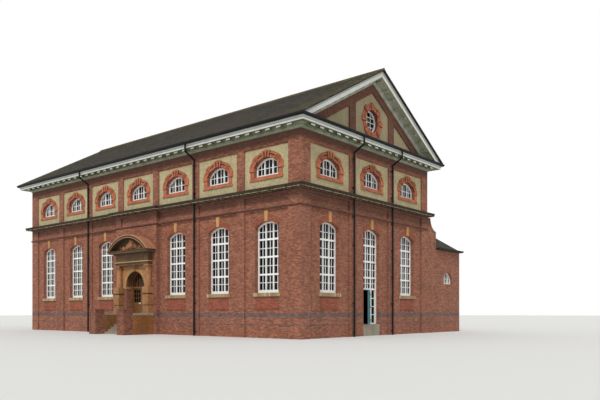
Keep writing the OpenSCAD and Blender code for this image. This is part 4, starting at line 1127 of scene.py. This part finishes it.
@dataclass
class ArchBricks(Assembly):
    """Cut brick heads of the tall windows: two rings of wedge bricks and the struck joint round them."""

    head: float = 0.45
    panel: float = 0.095
    proud: float = 0.006
    key: float = 0.2  # half width of the keystone
    rings: tuple[tuple[float, float, int], ...] = ((0.003, 0.222, 31), (0.228, 0.446, 33))

    def build(self) -> None:
        """Build the rings as one piece and the joint as another."""
        bricks, joint = Solids(), Solids()
        radius, centre, spread = TALL.radius(), TALL.centre(), TALL.spread()
        outer = radius + self.head
        key_turn = math.degrees(math.asin(self.key / outer))
        for place in TALL_PLACES + [EAST]:
            bricks.place = joint.place = place
            for near, far, count in self.rings:
                inner, step = radius + near, 2 * spread / count
                gap = math.degrees(0.004 / inner)
                for i in range(count):
                    a = -spread + i * step
                    if abs(math.sin(math.radians(a + step / 2)) * inner) > self.key:
                        bricks.wedge(centre, (inner, radius + far), (a + gap, a + step - gap),
                                     (self.panel - self.proud, self.panel + 0.005))
            for m in (-1, 1):
                joint.wedge(centre, (outer - 0.002, outer + 0.016), (m * key_turn, m * spread),
                            (self.panel + 0.014, self.panel + 0.025), 8)
        self.workshop.piece(bricks, "arch_bricks", "rubbed_brick", "rubbed_brick")
        self.workshop.piece(joint, "arch_joints", "pointing", "rubbed_brick")


@dataclass
class BlockSurrounds(Assembly):
    """Moulded blocks round the lunettes and round windows, with dark plates of painted shade in the open joints,
    grooves and outlines between them.
    """

    width: float = 0.43
    ring: float = 0.065
    hood: float = 0.035
    block: float = 0.015
    round_r: float = 0.8

    def lunette(self, blocks: Solids, joints: Solids) -> None:
        """Set the blocks of one lunette.

        Args:
            blocks: where the blocks go.
            joints: where the dark plates of painted shade go.
        """
        r, z, width, back = LUNETTE.radius(), LUNETTE.centre(), self.width, self.ring + 0.01
        for t, tall in ((-9.4, 0.055), (0.0, 0.09), (9.4, 0.055)):
            blocks.wedge(z, (r + 0.01, r + width + tall), (t - 2.7, t + 2.7), (self.block - 0.03, back))
        # solids, inner and outer distance from the opening, two angles, front, back and straight lengths
        course = [(blocks, 0.01, 0.2, a, b, self.ring - 0.028, back, 2)
                  for a, b in ((13.2, 21.4), (22.0, 30.2))]
        course += [(blocks, 0.01, width + 0.035, a, b, self.block - 0.022, back, 1)
                   for a, b in ((33.1, 36.0), (38.0, 40.9))]
        course += [(joints, 0.012, width - 0.002, a, b, self.block - 0.004, self.ring, 1)
                   for a, b in ((32.4, 41.6), (0.0, 12.8))]
        course += [(joints, width - 0.025, width - 0.001, 13.2, 32.6, self.ring - 0.004, back, 4),
                   (joints, 0.205, 0.275, 13.2, 30.4, self.ring - 0.008, back, 4),
                   (joints, 0.01, width, 30.4, 32.7, self.ring - 0.02, back, 1),
                   (joints, 0.01, width, 12.5, 13.2, self.ring - 0.02, back, 1),
                   (blocks, 0.01, 0.2, 41.8, LUNETTE.spread(), self.ring - 0.028, back, 1)]
        sill, half = LUNETTE.sill, LUNETTE.width / 2
        for m in (-1, 1):
            for solids, near, far, a, b, front, rear, parts in course:
                solids.wedge(z, (r + near, r + far), (m * a, m * b), (front, rear), parts)
            x = mirrored(m, half + 0.012, half + width * 0.78)
            blocks.box(x, (self.hood - 0.012, back), (sill + 0.39, LUNETTE.spring - 0.02))
            joints.box(x, (self.ring - 0.02, back), (sill + 0.345, sill + 0.39))
            blocks.box(x, (self.ring - 0.022, back), (sill - 0.09, sill + 0.345))

    def round_window(self, blocks: Solids, joints: Solids) -> None:
        """Set the blocks of one round window.

        Args:
            blocks: where the blocks go.
            joints: where the dark plates of painted shade go.
        """
        near, back = self.round_r + 0.012, self.ring + 0.01
        for i in range(8):
            tall = 0.1 if i % 2 == 0 else 0.07
            # solids, outer distance from the opening, two angles, front and straight lengths
            course = ((blocks, self.width + tall, 1.0, 7.4, self.block - 0.022, 1),
                      (joints, self.width - 0.01, 8.2, 10.6, self.ring - 0.032, 1),
                      (blocks, 0.19, 10.6, 22.1, self.ring - 0.03, 2))
            for m in (-1, 1):
                for solids, far, a, b, front, parts in course:
                    angles = sorted((i * 45.0 + m * a, i * 45.0 + m * b))
                    solids.wedge(ROUND_Z, (near, self.round_r + far), angles, (front, back), parts)

    def build(self) -> None:
        """Build all the blocks as one piece and the dark plates of painted shade in the joints as another."""
        blocks, joints = Solids(), Solids()
        for place in LUNETTE_PLACES:
            blocks.place = joints.place = place
            self.lunette(blocks, joints)
        for side in GABLES:
            blocks.place = joints.place = side.placer()
            self.round_window(blocks, joints)
        self.workshop.piece(blocks, "surround_blocks", "surround", "rubbed_brick", bevel=0.008)
        self.workshop.piece(joints, "surround_joints", "painted_shade_joint", "rubbed_brick")


@dataclass
class RoofCovering(Assembly):
    """Slates laid course by course on both slopes, and the collars of the ridge tiles."""

    ridge_z: float = field(default_factory=lambda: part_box("front_roof_slope")[1].z)
    verge: float = 17.96
    pitch: float = math.radians(ROOF_PITCH)
    exposed: float = 0.21
    slate_w: float = 0.3
    gap: float = 0.006
    length: float = 10.42
    thick: float = 0.009
    collar_pitch: float = 0.45
    collar: Row = (0.232, 0.01, 0.07, 0.13)  # half width, lift, bow and fall

    def course(self, solids: Solids, m: int, index: int, dice: random.Random) -> None:
        """Lay one course of slates.

        Args:
            solids: where they go.
            m: -1 for the front slope and 1 for the rear one.
            index: number of the course from the eaves.
            dice: the seeded source of small differences.
        """
        foot = (self.length - index * self.exposed) * math.cos(self.pitch)
        head = foot - (self.exposed + 0.01) * math.cos(self.pitch)
        x = -self.verge - (self.slate_w / 2 if index % 2 else 0.0)
        while x < self.verge:
            a = max(x + self.gap / 2, -self.verge)
            b = min(x + self.slate_w - self.gap / 2, self.verge)
            x += self.slate_w
            if b - a < 0.03:
                continue
            lift = self.thick + dice.uniform(0.0, 0.005)
            low = foot + dice.uniform(-0.006, 0.006)
            first = len(solids.points)
            for px, out, up in ((a, low, 0.0), (b, low, 0.0), (b, low, lift), (a, low, lift), (a, head, 0.001),
                                (b, head, 0.001)):
                solids.points.append((px, m * out, self.ridge_z - math.tan(self.pitch) * out + up))
            solids.faces += [tuple(first + k for k in face)
                             for face in ((0, 1, 2, 3), (3, 2, 5, 4), (0, 3, 4), (1, 5, 2))]

    def build(self) -> None:
        """Build the slates of both slopes and the ridge collars."""
        dice = random.Random(5)
        for m, name in ((-1, "front_slates"), (1, "rear_slates")):
            solids = Solids()
            for index in range(int(self.length / self.exposed)):
                self.course(solids, m, index, dice)
            self.workshop.piece(solids, name, "slate", "slate")
        collars = Solids()
        turns = [math.radians(d) for d in range(-90, 91, 30)]
        half, lift, bow, fall = self.collar
        x = -self.verge + 0.3
        while x < self.verge - 0.1:
            collars.rod([(x, half * math.sin(a),
                          self.ridge_z + lift + bow * math.cos(a) - fall * abs(math.sin(a))) for a in turns],
                        (0.014, 0.014), 6)
            x += self.collar_pitch
        self.workshop.piece(collars, "ridge_collars", "ridge", "ridge")


@dataclass
class Porch(Assembly):
    """The terracotta doorcase: arch mouldings, capitals, dentils and the carved filling of the pediment."""

    wall: float = -0.2
    arch_r: float = 1.22
    arch_z: float = 3.74
    column_x: float = 1.92
    entab_face: float = -0.575
    entab_half: float = 2.12
    entab_z: float = 5.41
    cornice_z: float = 6.58
    pediment_front: float = -1.10
    pediment_half: float = 2.645
    pediment_rise: float = 1.23
    rim: float = 0.26
    volute_x: float = 0.235
    volute_z: float = 5.25
    rail_z: Pair = (5.335, 5.31)  # the capital's top moulding, at its ends and middle
    band_z: Pair = (5.655, 5.72)
    teeth_z: Pair = (6.29, 6.36)
    teeth: int = 27
    boss_z: float = 7.05
    joint_z: tuple[Pair, ...] = ((2.233, 2.287), (3.083, 3.197))

    def arch(self) -> None:
        """Run the beads round the arch and set the impost blocks."""
        solids = Solids(FRONT)
        for grow, thick in ((0.03, 0.026), (0.13, 0.016), (0.225, 0.03)):
            solids.rod(arc_path(self.arch_r + grow, self.arch_z, 90, self.wall - 0.06), (thick, thick))
        for m in (-1, 1):
            x = mirrored(m, self.arch_r - 0.03, self.arch_r + 0.27)
            for out, low, high in ((0.08, 0.15, 0.09), (0.1, 0.09, 0.01)):
                solids.box(x, (self.wall - out, 0.2), (self.arch_z - low, self.arch_z - high))
        self.workshop.piece(solids, "porch_arch_mouldings", "pale_terracotta", "terracotta", bevel=0.006)

    def keystone(self) -> None:
        """Model the console on the arch's keystone: two scrolls with a leaf between."""
        solids = Solids(FRONT)
        front = self.wall - 0.165
        top, bottom = self.entab_z - 0.05, self.arch_z + self.arch_r + 0.02
        for m in (-1, 1):
            solids.rod(scroll_path((m * 0.09, top - 0.09), 0.075, 1.6, -m, front), (0.02, 0.012))
            solids.rod([(m * 0.155, front, top - 0.1), (m * 0.14, front - 0.01, (top + bottom) / 2),
                        (m * 0.11, front, bottom + 0.05)], (0.02, 0.014))
        for i in range(4):
            z = bottom + 0.05 + i * 0.055
            solids.rod([(0, front + 0.01, z), (0, front - 0.03, z + 0.05), (0, front - 0.015, z + 0.11)],
                       (0.035, 0.015))
        self.workshop.piece(solids, "porch_keystone_console", "buff_terracotta", "terracotta", smooth=True)

    def capitals(self) -> None:
        """Wind the volutes of the two capitals and run an egg row between them."""
        solids = Solids(FRONT)
        for c in (-1, 1):
            x = c * self.column_x
            for m in (-1, 1):
                eye = (x + m * self.volute_x, self.volute_z)
                solids.rod(scroll_path(eye, 0.085, 1.8, -m, self.entab_face - 0.02), (0.026, 0.014))
            ends, middle = self.rail_z
            solids.rod([(x - self.volute_x, self.entab_face - 0.02, ends), (x, self.entab_face - 0.035, middle),
                        (x + self.volute_x, self.entab_face - 0.02, ends)], (0.022, 0.022))
            for i in range(5):
                solids.turned([(0.001, 0.02), (0.03, 0.015), (0.034, 0.0), (0.022, -0.03), (0.001, -0.04)],
                              (x - 0.13 + i * 0.065, self.entab_face, 5.24), 8, 1.3)
        self.workshop.piece(solids, "porch_capital_volutes", "buff_terracotta", "terracotta", smooth=True)

    def entablature(self) -> None:
        """Lay the pale architrave band and the dentils under the cornice."""
        band = Solids(FRONT)
        half, face = self.entab_half + 0.078, self.entab_face - 0.078
        band.box((-half, half), (face, self.entab_face), self.band_z)
        for m in (-1, 1):
            edges = mirrored(m, self.entab_half, half)
            band.box(edges, (self.entab_face, self.wall), self.band_z)
        self.workshop.piece(band, "porch_architrave_band", "pale_terracotta", "terracotta", bevel=0.008)
        teeth = Solids(FRONT)
        for i in range(self.teeth):
            x = -self.entab_half + 0.03 + i * (2 * self.entab_half - 0.06) / (self.teeth - 1)
            teeth.box((x - 0.04, x + 0.04), (self.entab_face - 0.17, self.entab_face - 0.1), self.teeth_z)
        for m in (-1, 1):
            for i in range(3):
                y = self.entab_face + 0.06 + i * 0.16
                edges = mirrored(m, self.entab_half + 0.1, self.entab_half + 0.17)
                teeth.box(edges, (y - 0.04, y + 0.04), self.teeth_z)
        # the dentils take the entablature's terracotta, darkened as painted shade under the pediment
        self.workshop.piece(teeth, "porch_dentils", "entablature", "terracotta", bevel=0.004)

    def pediment(self) -> None:
        """Bead the curved cornice and carve the filling: an oval boss with leaves and scrolls to each side."""
        radius = arch_radius(2 * self.pediment_half, self.pediment_rise)
        centre = self.cornice_z + self.pediment_rise - radius
        spread = math.degrees(math.asin(self.pediment_half / radius))
        beads = Solids(FRONT)
        for r, thick in ((radius - 0.035, 0.022), (radius - 0.235, 0.014)):
            a = math.degrees(math.acos(min(1.0, (self.cornice_z + 0.02 - centre) / r)))
            a = min(a, spread)
            beads.rod(arc_path(r, centre, a, self.pediment_front + 0.012), (thick, thick))
        self.workshop.piece(beads, "porch_pediment_beads", "pale_terracotta", "terracotta")
        self.ground(radius, centre, spread)
        carving = Solids(FRONT)
        face, z = self.entab_face - 0.02, self.boss_z
        carving.turned([(0.33, 0.1), (0.3, 0.03), (0.24, -0.02), (0.2, -0.045), (0.17, -0.03), (0.1, -0.07),
                        (0.001, -0.085)], (0.0, face, z), 28, 1.15)
        for m in (-1, 1):
            carving.rod(scroll_path((m * 0.55, 6.94), 0.18, 1.7, m, face), (0.06, 0.03))
            carving.rod(scroll_path((m * 1.02, 6.82), 0.14, 1.5, -m, face + 0.01), (0.05, 0.025))
            carving.rod([(m * 0.33, face, 6.8), (m * 0.6, face, 6.73), (m * 0.95, face, 6.7),
                         (m * 1.55, face + 0.01, 6.66)], (0.05, 0.02))
            for i in range(6):
                x = 0.4 + i * 0.2
                carving.rod([(m * x, face + 0.01, 6.74), (m * (x + 0.06), face - 0.03, 6.9 + 0.03 * (i % 2)),
                             (m * (x + 0.16), face, 7.0 - 0.045 * i)], (0.05, 0.012), 6)
        for a in [math.radians(d) for d in range(-75, 76, 25)]:
            carving.rod([(0.24 * math.sin(a), face, z + 0.26 * math.cos(a)),
                         (0.38 * math.sin(a), face - 0.05, z + 0.36 * math.cos(a)),
                         (0.47 * math.sin(a), face, z + 0.43 * math.cos(a))], (0.06, 0.02))
        self.workshop.piece(carving, "porch_pediment_carving", "carving", "terracotta", smooth=True)

    def ground(self, radius: float, centre: float, spread: float) -> None:
        """Lay dark plates of painted shade on the ground of the carving and in the hollow of the curved
        cornice's face.

        Args:
            radius: of the pediment's top.
            centre: height of its centre.
            spread: angle from the vertical at which it ends, in degrees.
        """
        plates = Solids(FRONT)
        inner = radius - self.rim - 0.004
        turn = math.degrees(math.acos((self.cornice_z + 0.01 - centre) / inner))
        arc = [(x, z) for x, _, z in arc_path(inner, centre, turn, 0.0)]
        plates.prism(arc, (self.entab_face - 0.006, self.entab_face + 0.004))
        for m in (-1, 1):
            plates.wedge(centre, (radius - self.rim + 0.05, radius - 0.075), (0, m * (spread - 1.5)),
                         (self.pediment_front - 0.005, self.pediment_front + 0.01), 20)
        self.workshop.piece(plates, "porch_pediment_ground", "tympanum", "terracotta")

    def pedestals(self) -> None:
        """Fill the sunk joints between the blocks of the pedestals with dark plates of painted shade."""
        joints = Solids(FRONT)
        for m in (-1, 1):
            x = m * self.column_x
            for z in self.joint_z:
                joints.box((x - 0.33, x + 0.33), (-0.68, self.wall - 0.03), z)
        self.workshop.piece(joints, "porch_pedestal_joints", "tympanum", "terracotta")

    def build(self) -> None:
        """Build the whole of the doorcase's enrichment."""
        self.pedestals()
        self.arch()
        self.keystone()
        self.capitals()
        self.entablature()
        self.pediment()


@dataclass
class EntranceScreen(Assembly):
    """Joinery in the porch: fanlight bars, transom, and the glass, bars and plate of the two leaves."""

    face: float = 0.33
    fan_r: float = 1.13
    fan_z: float = 3.75
    fan_centre: float = 3.74
    panel_low: float = 2.5
    panel_high: float = 3.532
    panel_x: Pair = (0.1155, 0.972)
    pane_y: Pair = (0.388, 0.395)
    bar_y: Pair = (0.3805, 0.39)
    mould_y: Pair = (0.3805, 0.4)
    mould_z: Pair = (1.748, 2.279)
    mould: float = 0.022
    bar_half: float = 0.017
    transom_half: float = 1.215
    # radius and place through the leaf, from the back of the knob's rose to its front
    knob: tuple[Pair, ...] = ((0.032, 0.3795), (0.032, 0.374), (0.012, 0.368), (0.012, 0.352), (0.03, 0.342),
                              (0.03, 0.33), (0.012, 0.322))

    def fanlight(self) -> None:
        """Bar the fanlight and mould the transom under it."""
        bars = Solids(FRONT)
        for i in range(-4, 5):
            x = i * 0.235
            bars.box((x - self.bar_half, x + self.bar_half), (self.face + 0.005, self.face + 0.045),
                     (self.fan_z, self.fan_centre + reach(self.fan_r, x)))
        bars.rod(arc_path(0.62, self.fan_centre, 88, self.face + 0.022, 24), (self.bar_half, self.bar_half), 6)
        self.workshop.piece(bars, "fanlight_bars", "oak", "brown_timber")
        rail = Solids(FRONT)
        rail.box((-self.transom_half, self.transom_half), (self.face - 0.04, self.face), (3.655, 3.745))
        rail.box((-self.transom_half, self.transom_half), (self.face - 0.07, self.face - 0.04), (3.715, 3.745))
        self.workshop.piece(rail, "entrance_transom_moulding", "boards", "brown_timber", bevel=0.008)

    def leaf(self, m: int, body: str, name: str) -> None:
        """Glaze and bar the upper panel of one leaf and mould the lower one.

        Args:
            m: -1 for the left leaf and 1 for the right one.
            body: the leaf's CAD body.
            name: start of the pieces' names.
        """
        low_x, high_x = mirrored(m, self.panel_x[0], self.panel_x[1])
        pane, bars, mould = Solids(FRONT), Solids(FRONT), Solids(FRONT)
        pane.box((low_x, high_x), self.pane_y, (self.panel_low, self.panel_high))
        self.workshop.piece(pane, name + "_pane", "glass", "window_glass", body)
        for x in (low_x + i * (high_x - low_x) / 3 for i in (1, 2)):
            bars.box((x - 0.015, x + 0.015), self.bar_y, (self.panel_low, self.panel_high))
        for z in (self.panel_low + i * (self.panel_high - self.panel_low) / 3 for i in (1, 2)):
            bars.box((low_x, high_x), self.bar_y, (z - 0.015, z + 0.015))
        self.workshop.piece(bars, name + "_bars", "oak", "brown_timber", body)
        span = high_x - low_x
        for left, right in ((low_x, low_x + 0.45 * span), (high_x - 0.45 * span, high_x)):
            mould.border((left, right), self.mould_y, self.mould_z, self.mould)
        self.workshop.piece(mould, name + "_mouldings", "oak", "brown_timber", body)

    def build(self) -> None:
        """Build the fixed bars and the pieces that ride on the leaves."""
        self.fanlight()
        self.leaf(-1, "entrance_door_leaf", "entrance_door")
        self.leaf(1, "entrance_door_right_leaf", "entrance_door_right")
        plate = Solids(FRONT)
        plate.box((-0.36, -0.1), (0.3765, 0.3805), (2.39, 2.47))
        plate.box((-0.33, -0.13), (0.374, 0.377), (2.41, 2.45))
        self.workshop.piece(plate, "entrance_letter_plate", "plate", "steel", "entrance_door_leaf")
        for m, body, name in ((-1, "entrance_door_leaf", "entrance_door_knob"),
                              (1, "entrance_door_right_leaf", "entrance_door_right_knob")):
            knob = Solids(FRONT)
            knob.turned(self.knob, (m * 0.06, 0.0, 2.64), 16)
            self.workshop.piece(knob, name, "steel", "steel", body)


@dataclass
class SideDoor(Assembly):
    """Handle and bolection mouldings of the ajar gable door."""

    hinge_x: float = 0.28583
    hinge_y: float = 0.393
    ajar: float = 27.0
    width: float = 1.2358
    low: float = 0.835
    height: float = 2.49
    stile: float = 0.11
    panel_u: float = 0.1125  # where the panels start
    faces: tuple[Pair, ...] = ((-0.026, -0.008), (-0.066, -0.048))  # mouldings on the two faces
    mould: float = 0.022
    # left, right, foot and top of each panel, as shares of the leaf inside its stiles
    panels: tuple[Row, ...] = ((0, 0.45, 0, 0.36), (0.55, 1, 0, 0.36), (0, 0.45, 0.43, 1), (0.55, 1, 0.43, 1))

    def leaf(self) -> Placer:
        """Find the leaf's own frame.

        Returns:
            A function of u from the hinge, v through the leaf and z up.
        """
        turn = math.radians(180 + self.ajar)

        def place(u: float, v: float, z: float) -> Point:
            """Turn one point of the leaf."""
            return EAST(self.hinge_x + u * math.cos(turn) - v * math.sin(turn),
                        self.hinge_y + u * math.sin(turn) + v * math.cos(turn), z)
        return place

    def build(self) -> None:
        """Build the pieces that ride on the leaf."""
        trim, handle = Solids(self.leaf()), Solids(self.leaf())
        wide, tall = self.width - 2 * self.stile, self.height - 2 * self.stile
        for x0, x1, z0, z1 in self.panels:
            left, right = self.panel_u + x0 * wide, self.panel_u + x1 * wide
            low, high = self.low + self.stile + z0 * tall, self.low + self.stile + z1 * tall
            for v in self.faces:
                trim.border((left, right), v, (low, high), self.mould)
        self.workshop.piece(trim, "gable_door_mouldings", "teal", "teal_paint", "gable_door_leaf")
        u = self.width - 0.07
        handle.box((u - 0.022, u + 0.022), (-0.012, -0.006), (1.76, 1.98))
        handle.rod([(u, -0.006, 1.9), (u, 0.03, 1.9), (u - 0.02, 0.042, 1.9), (u - 0.11, 0.042, 1.895)],
                   (0.01, 0.01))
        self.workshop.piece(handle, "gable_door_handle", "steel", "steel", "gable_door_leaf")


@dataclass
class StairTrim(Assembly):
    """Boards on the cheeks of the stair and the nosings of its treads."""

    inner: float = 1.445
    outer: float = 2.295
    back: float = -0.2
    front: float = -2.05
    landing: float = 1.63
    tread: float = 0.27
    risers: int = 9
    board: float = 0.152
    gap: float = 0.007
    proud: float = 0.012
    board_z: Pair = (0.01, 1.3)
    cap_z: Pair = (1.305, 1.475)

    def build(self) -> None:
        """Build the two pieces."""
        boards, nosings = Solids(FRONT), Solids(FRONT)
        dice = random.Random(11)
        for m in (-1, 1):
            y = self.front + 0.004
            while y < self.back - 0.05:
                wide = min(self.board, self.back - y)
                lift = dice.uniform(0.0, 0.004)
                edges = mirrored(m, self.outer, self.outer + self.proud + lift)
                boards.box(edges, (y, y + wide - self.gap), self.board_z)
                y += wide
            edges = mirrored(m, self.outer, self.outer + 2 * self.proud)
            boards.box(edges, (self.front + 0.004, self.back), self.cap_z)
        for i in range(1, self.risers):
            y, z = self.front + (i - 1) * self.tread, i * self.landing / self.risers
            nosings.box((-self.inner + 0.002, self.inner - 0.002), (y - 0.018, y + 0.03), (z - 0.03, z + 0.002))
        self.workshop.piece(boards, "cheek_boards", "boards", "brown_timber", bevel=0.003)
        self.workshop.piece(nosings, "step_nosings", "steps", "stone", bevel=0.006)


@dataclass
class ModillionBoards(Assembly):
    """Painted white boards on the fronts of the modillions, which the cornice paint round them leaves
    green-grey, partly algae and partly painted shade.
    """

    out: float = 0.6
    half: float = 0.185
    y: Pair = (-0.018, 0.004)
    z: Pair = (13.415, 13.505)
    # each side's half length and its number of modillions
    rows: tuple[tuple[Side, float, int], ...] = ((Side.FRONT, 17.0, 37), (Side.REAR, 17.0, 37),
                                                 (Side.EAST, 8.15, 18), (Side.WEST, 8.15, 18))

    def build(self) -> None:
        """Build the boards of all four sides as one piece."""
        solids = Solids(FRONT)
        for side, half, count in self.rows:
            solids.place = side.placer(0.0, self.out)
            for i in range(count):
                x = -half + 2 * half * (i + 0.5) / count
                solids.box((x - self.half, x + self.half), self.y, self.z)
        self.workshop.piece(solids, "modillion_boards", "joinery", "painted_timber")


@dataclass
class EavesIron(Assembly):
    """Iron straps under the gutters and up their faces."""

    z: float = 13.75
    out: float = 0.87
    width: float = 0.17
    strap_half: float = 0.014
    thick: float = 0.008
    pitch: float = 0.93
    front_z: Pair = (0.07, 0.157)  # the strap's foot and top on the gutter's face, over z
    # each side's half length
    rows: tuple[tuple[Side, float], ...] = ((Side.FRONT, 17.87), (Side.REAR, 17.87), (Side.EAST, 9.02),
                                            (Side.WEST, 9.02))

    def build(self) -> None:
        """Build the straps of all four sides as one piece."""
        solids = Solids(FRONT)
        for side, half in self.rows:
            solids.place = side.placer(0.0, self.out)
            count = int(2 * half / self.pitch)
            for i in range(count + 1):
                middle = -half + i * 2 * half / count
                x = (middle - self.strap_half, middle + self.strap_half)
                solids.box(x, (-self.width * 0.62, 0.0), (self.z - self.thick, self.z))
                solids.box(x, (-self.width, -self.width + self.thick),
                           (self.z + self.front_z[0], self.z + self.front_z[1]))
        self.workshop.piece(solids, "gutter_straps", "iron", "black_iron")


@dataclass
class Studio:
    """Camera, lamps, floor and sky."""

    eye: Point = (42.1, -38.3, 1.75)
    ahead: Point = (-0.638, 0.770, 0.0)
    lens: float = 37.6
    shift_x: float = -0.0043
    shift_y: float = 0.186
    sky: float = 0.62
    sun: float = 1.5
    sun_angle: float = 10.0  # wide, so that shadows have soft edges
    sun_ahead: Point = (-0.44, 0.90, -1.0)
    floor_r: float = 260.0
    floor_z: float = -0.003

    def camera(self) -> None:
        """Place the camera where the photograph was taken."""
        data = bpy.data.cameras.new("camera")
        data.lens, data.sensor_width = self.lens, 36.0
        data.shift_x, data.shift_y = self.shift_x, self.shift_y
        data.clip_start, data.clip_end = 0.5, 500.0
        made = bpy.data.objects.new("camera", data)
        made.location = self.eye
        made.rotation_euler = Vector(self.ahead).to_track_quat("-Z", "Y").to_euler()
        bpy.context.scene.collection.objects.link(made)
        bpy.context.scene.camera = made

    def light(self) -> None:
        """Set a soft high sun and an even sky; what the camera sees of the sky is white."""
        lamp = bpy.data.lights.new("soft_key", "SUN")
        lamp.energy, lamp.angle = self.sun, math.radians(self.sun_angle)
        made = bpy.data.objects.new("soft_key", lamp)
        made.rotation_euler = Vector(self.sun_ahead).to_track_quat("-Z", "Y").to_euler()
        bpy.context.scene.collection.objects.link(made)
        world = bpy.data.worlds.new("plain_sky")
        bpy.context.scene.world = world
        world.use_nodes = True
        tree = world.node_tree
        ground = tree.nodes["Background"]
        ground.inputs["Color"].default_value = (1, 1, 1, 1)
        seen = add_node(tree, "LightPath", {}, "Is Camera Ray")
        for ray in ("Is Glossy Ray", "Is Transmission Ray"):
            other = add_node(tree, "LightPath", {}, ray)
            seen = add_node(tree, "Math", {"operation": "MAXIMUM", 0: seen, 1: other})
        strength = add_node(tree, "MapRange", {0: seen, 3: self.sky, 4: 1.0})
        tree.links.new(strength, ground.inputs["Strength"])

    def floor(self) -> None:
        """Lay the plain pale floor."""
        mesh = bpy.data.meshes.new("studio_floor")
        count = 64
        turns = [2 * math.pi * i / count for i in range(count)]
        mesh.from_pydata([(self.floor_r * math.cos(a), self.floor_r * math.sin(a), self.floor_z) for a in turns],
                         [], [tuple(range(count))])
        made = bpy.data.objects.new("studio_floor", mesh)
        bpy.context.scene.collection.objects.link(made)
        paint = bpy.data.materials.new("matt studio paint")
        paint.use_nodes = True
        shader = paint.node_tree.nodes["Principled BSDF"]
        shader.inputs["Base Color"].default_value = linear("#e4e4e1")
        shader.inputs["Roughness"].default_value = 0.9
        mesh.materials.append(paint)

    def build(self) -> None:
        """Build the whole set."""
        self.camera()
        self.light()
        self.floor()
        bpy.context.scene.view_settings.view_transform = "Standard"


def main() -> None:
    """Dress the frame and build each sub-assembly."""
    logging.basicConfig(level=logging.INFO, format="%(name)s: %(message)s")
    Studio().build()
    workshop = Workshop()
    workshop.dress_frame(frame["nodes"])
    for group in (Glazing, ArchBricks, BlockSurrounds, RoofCovering, Porch, EntranceScreen, SideDoor, StairTrim,
                  ModillionBoards, EavesIron):
        LOG.info("building %s", group.__name__)
        group(workshop).build()
    LOG.info("added triangles: %d", workshop.triangles)


if __name__ == "__main__":
    main()
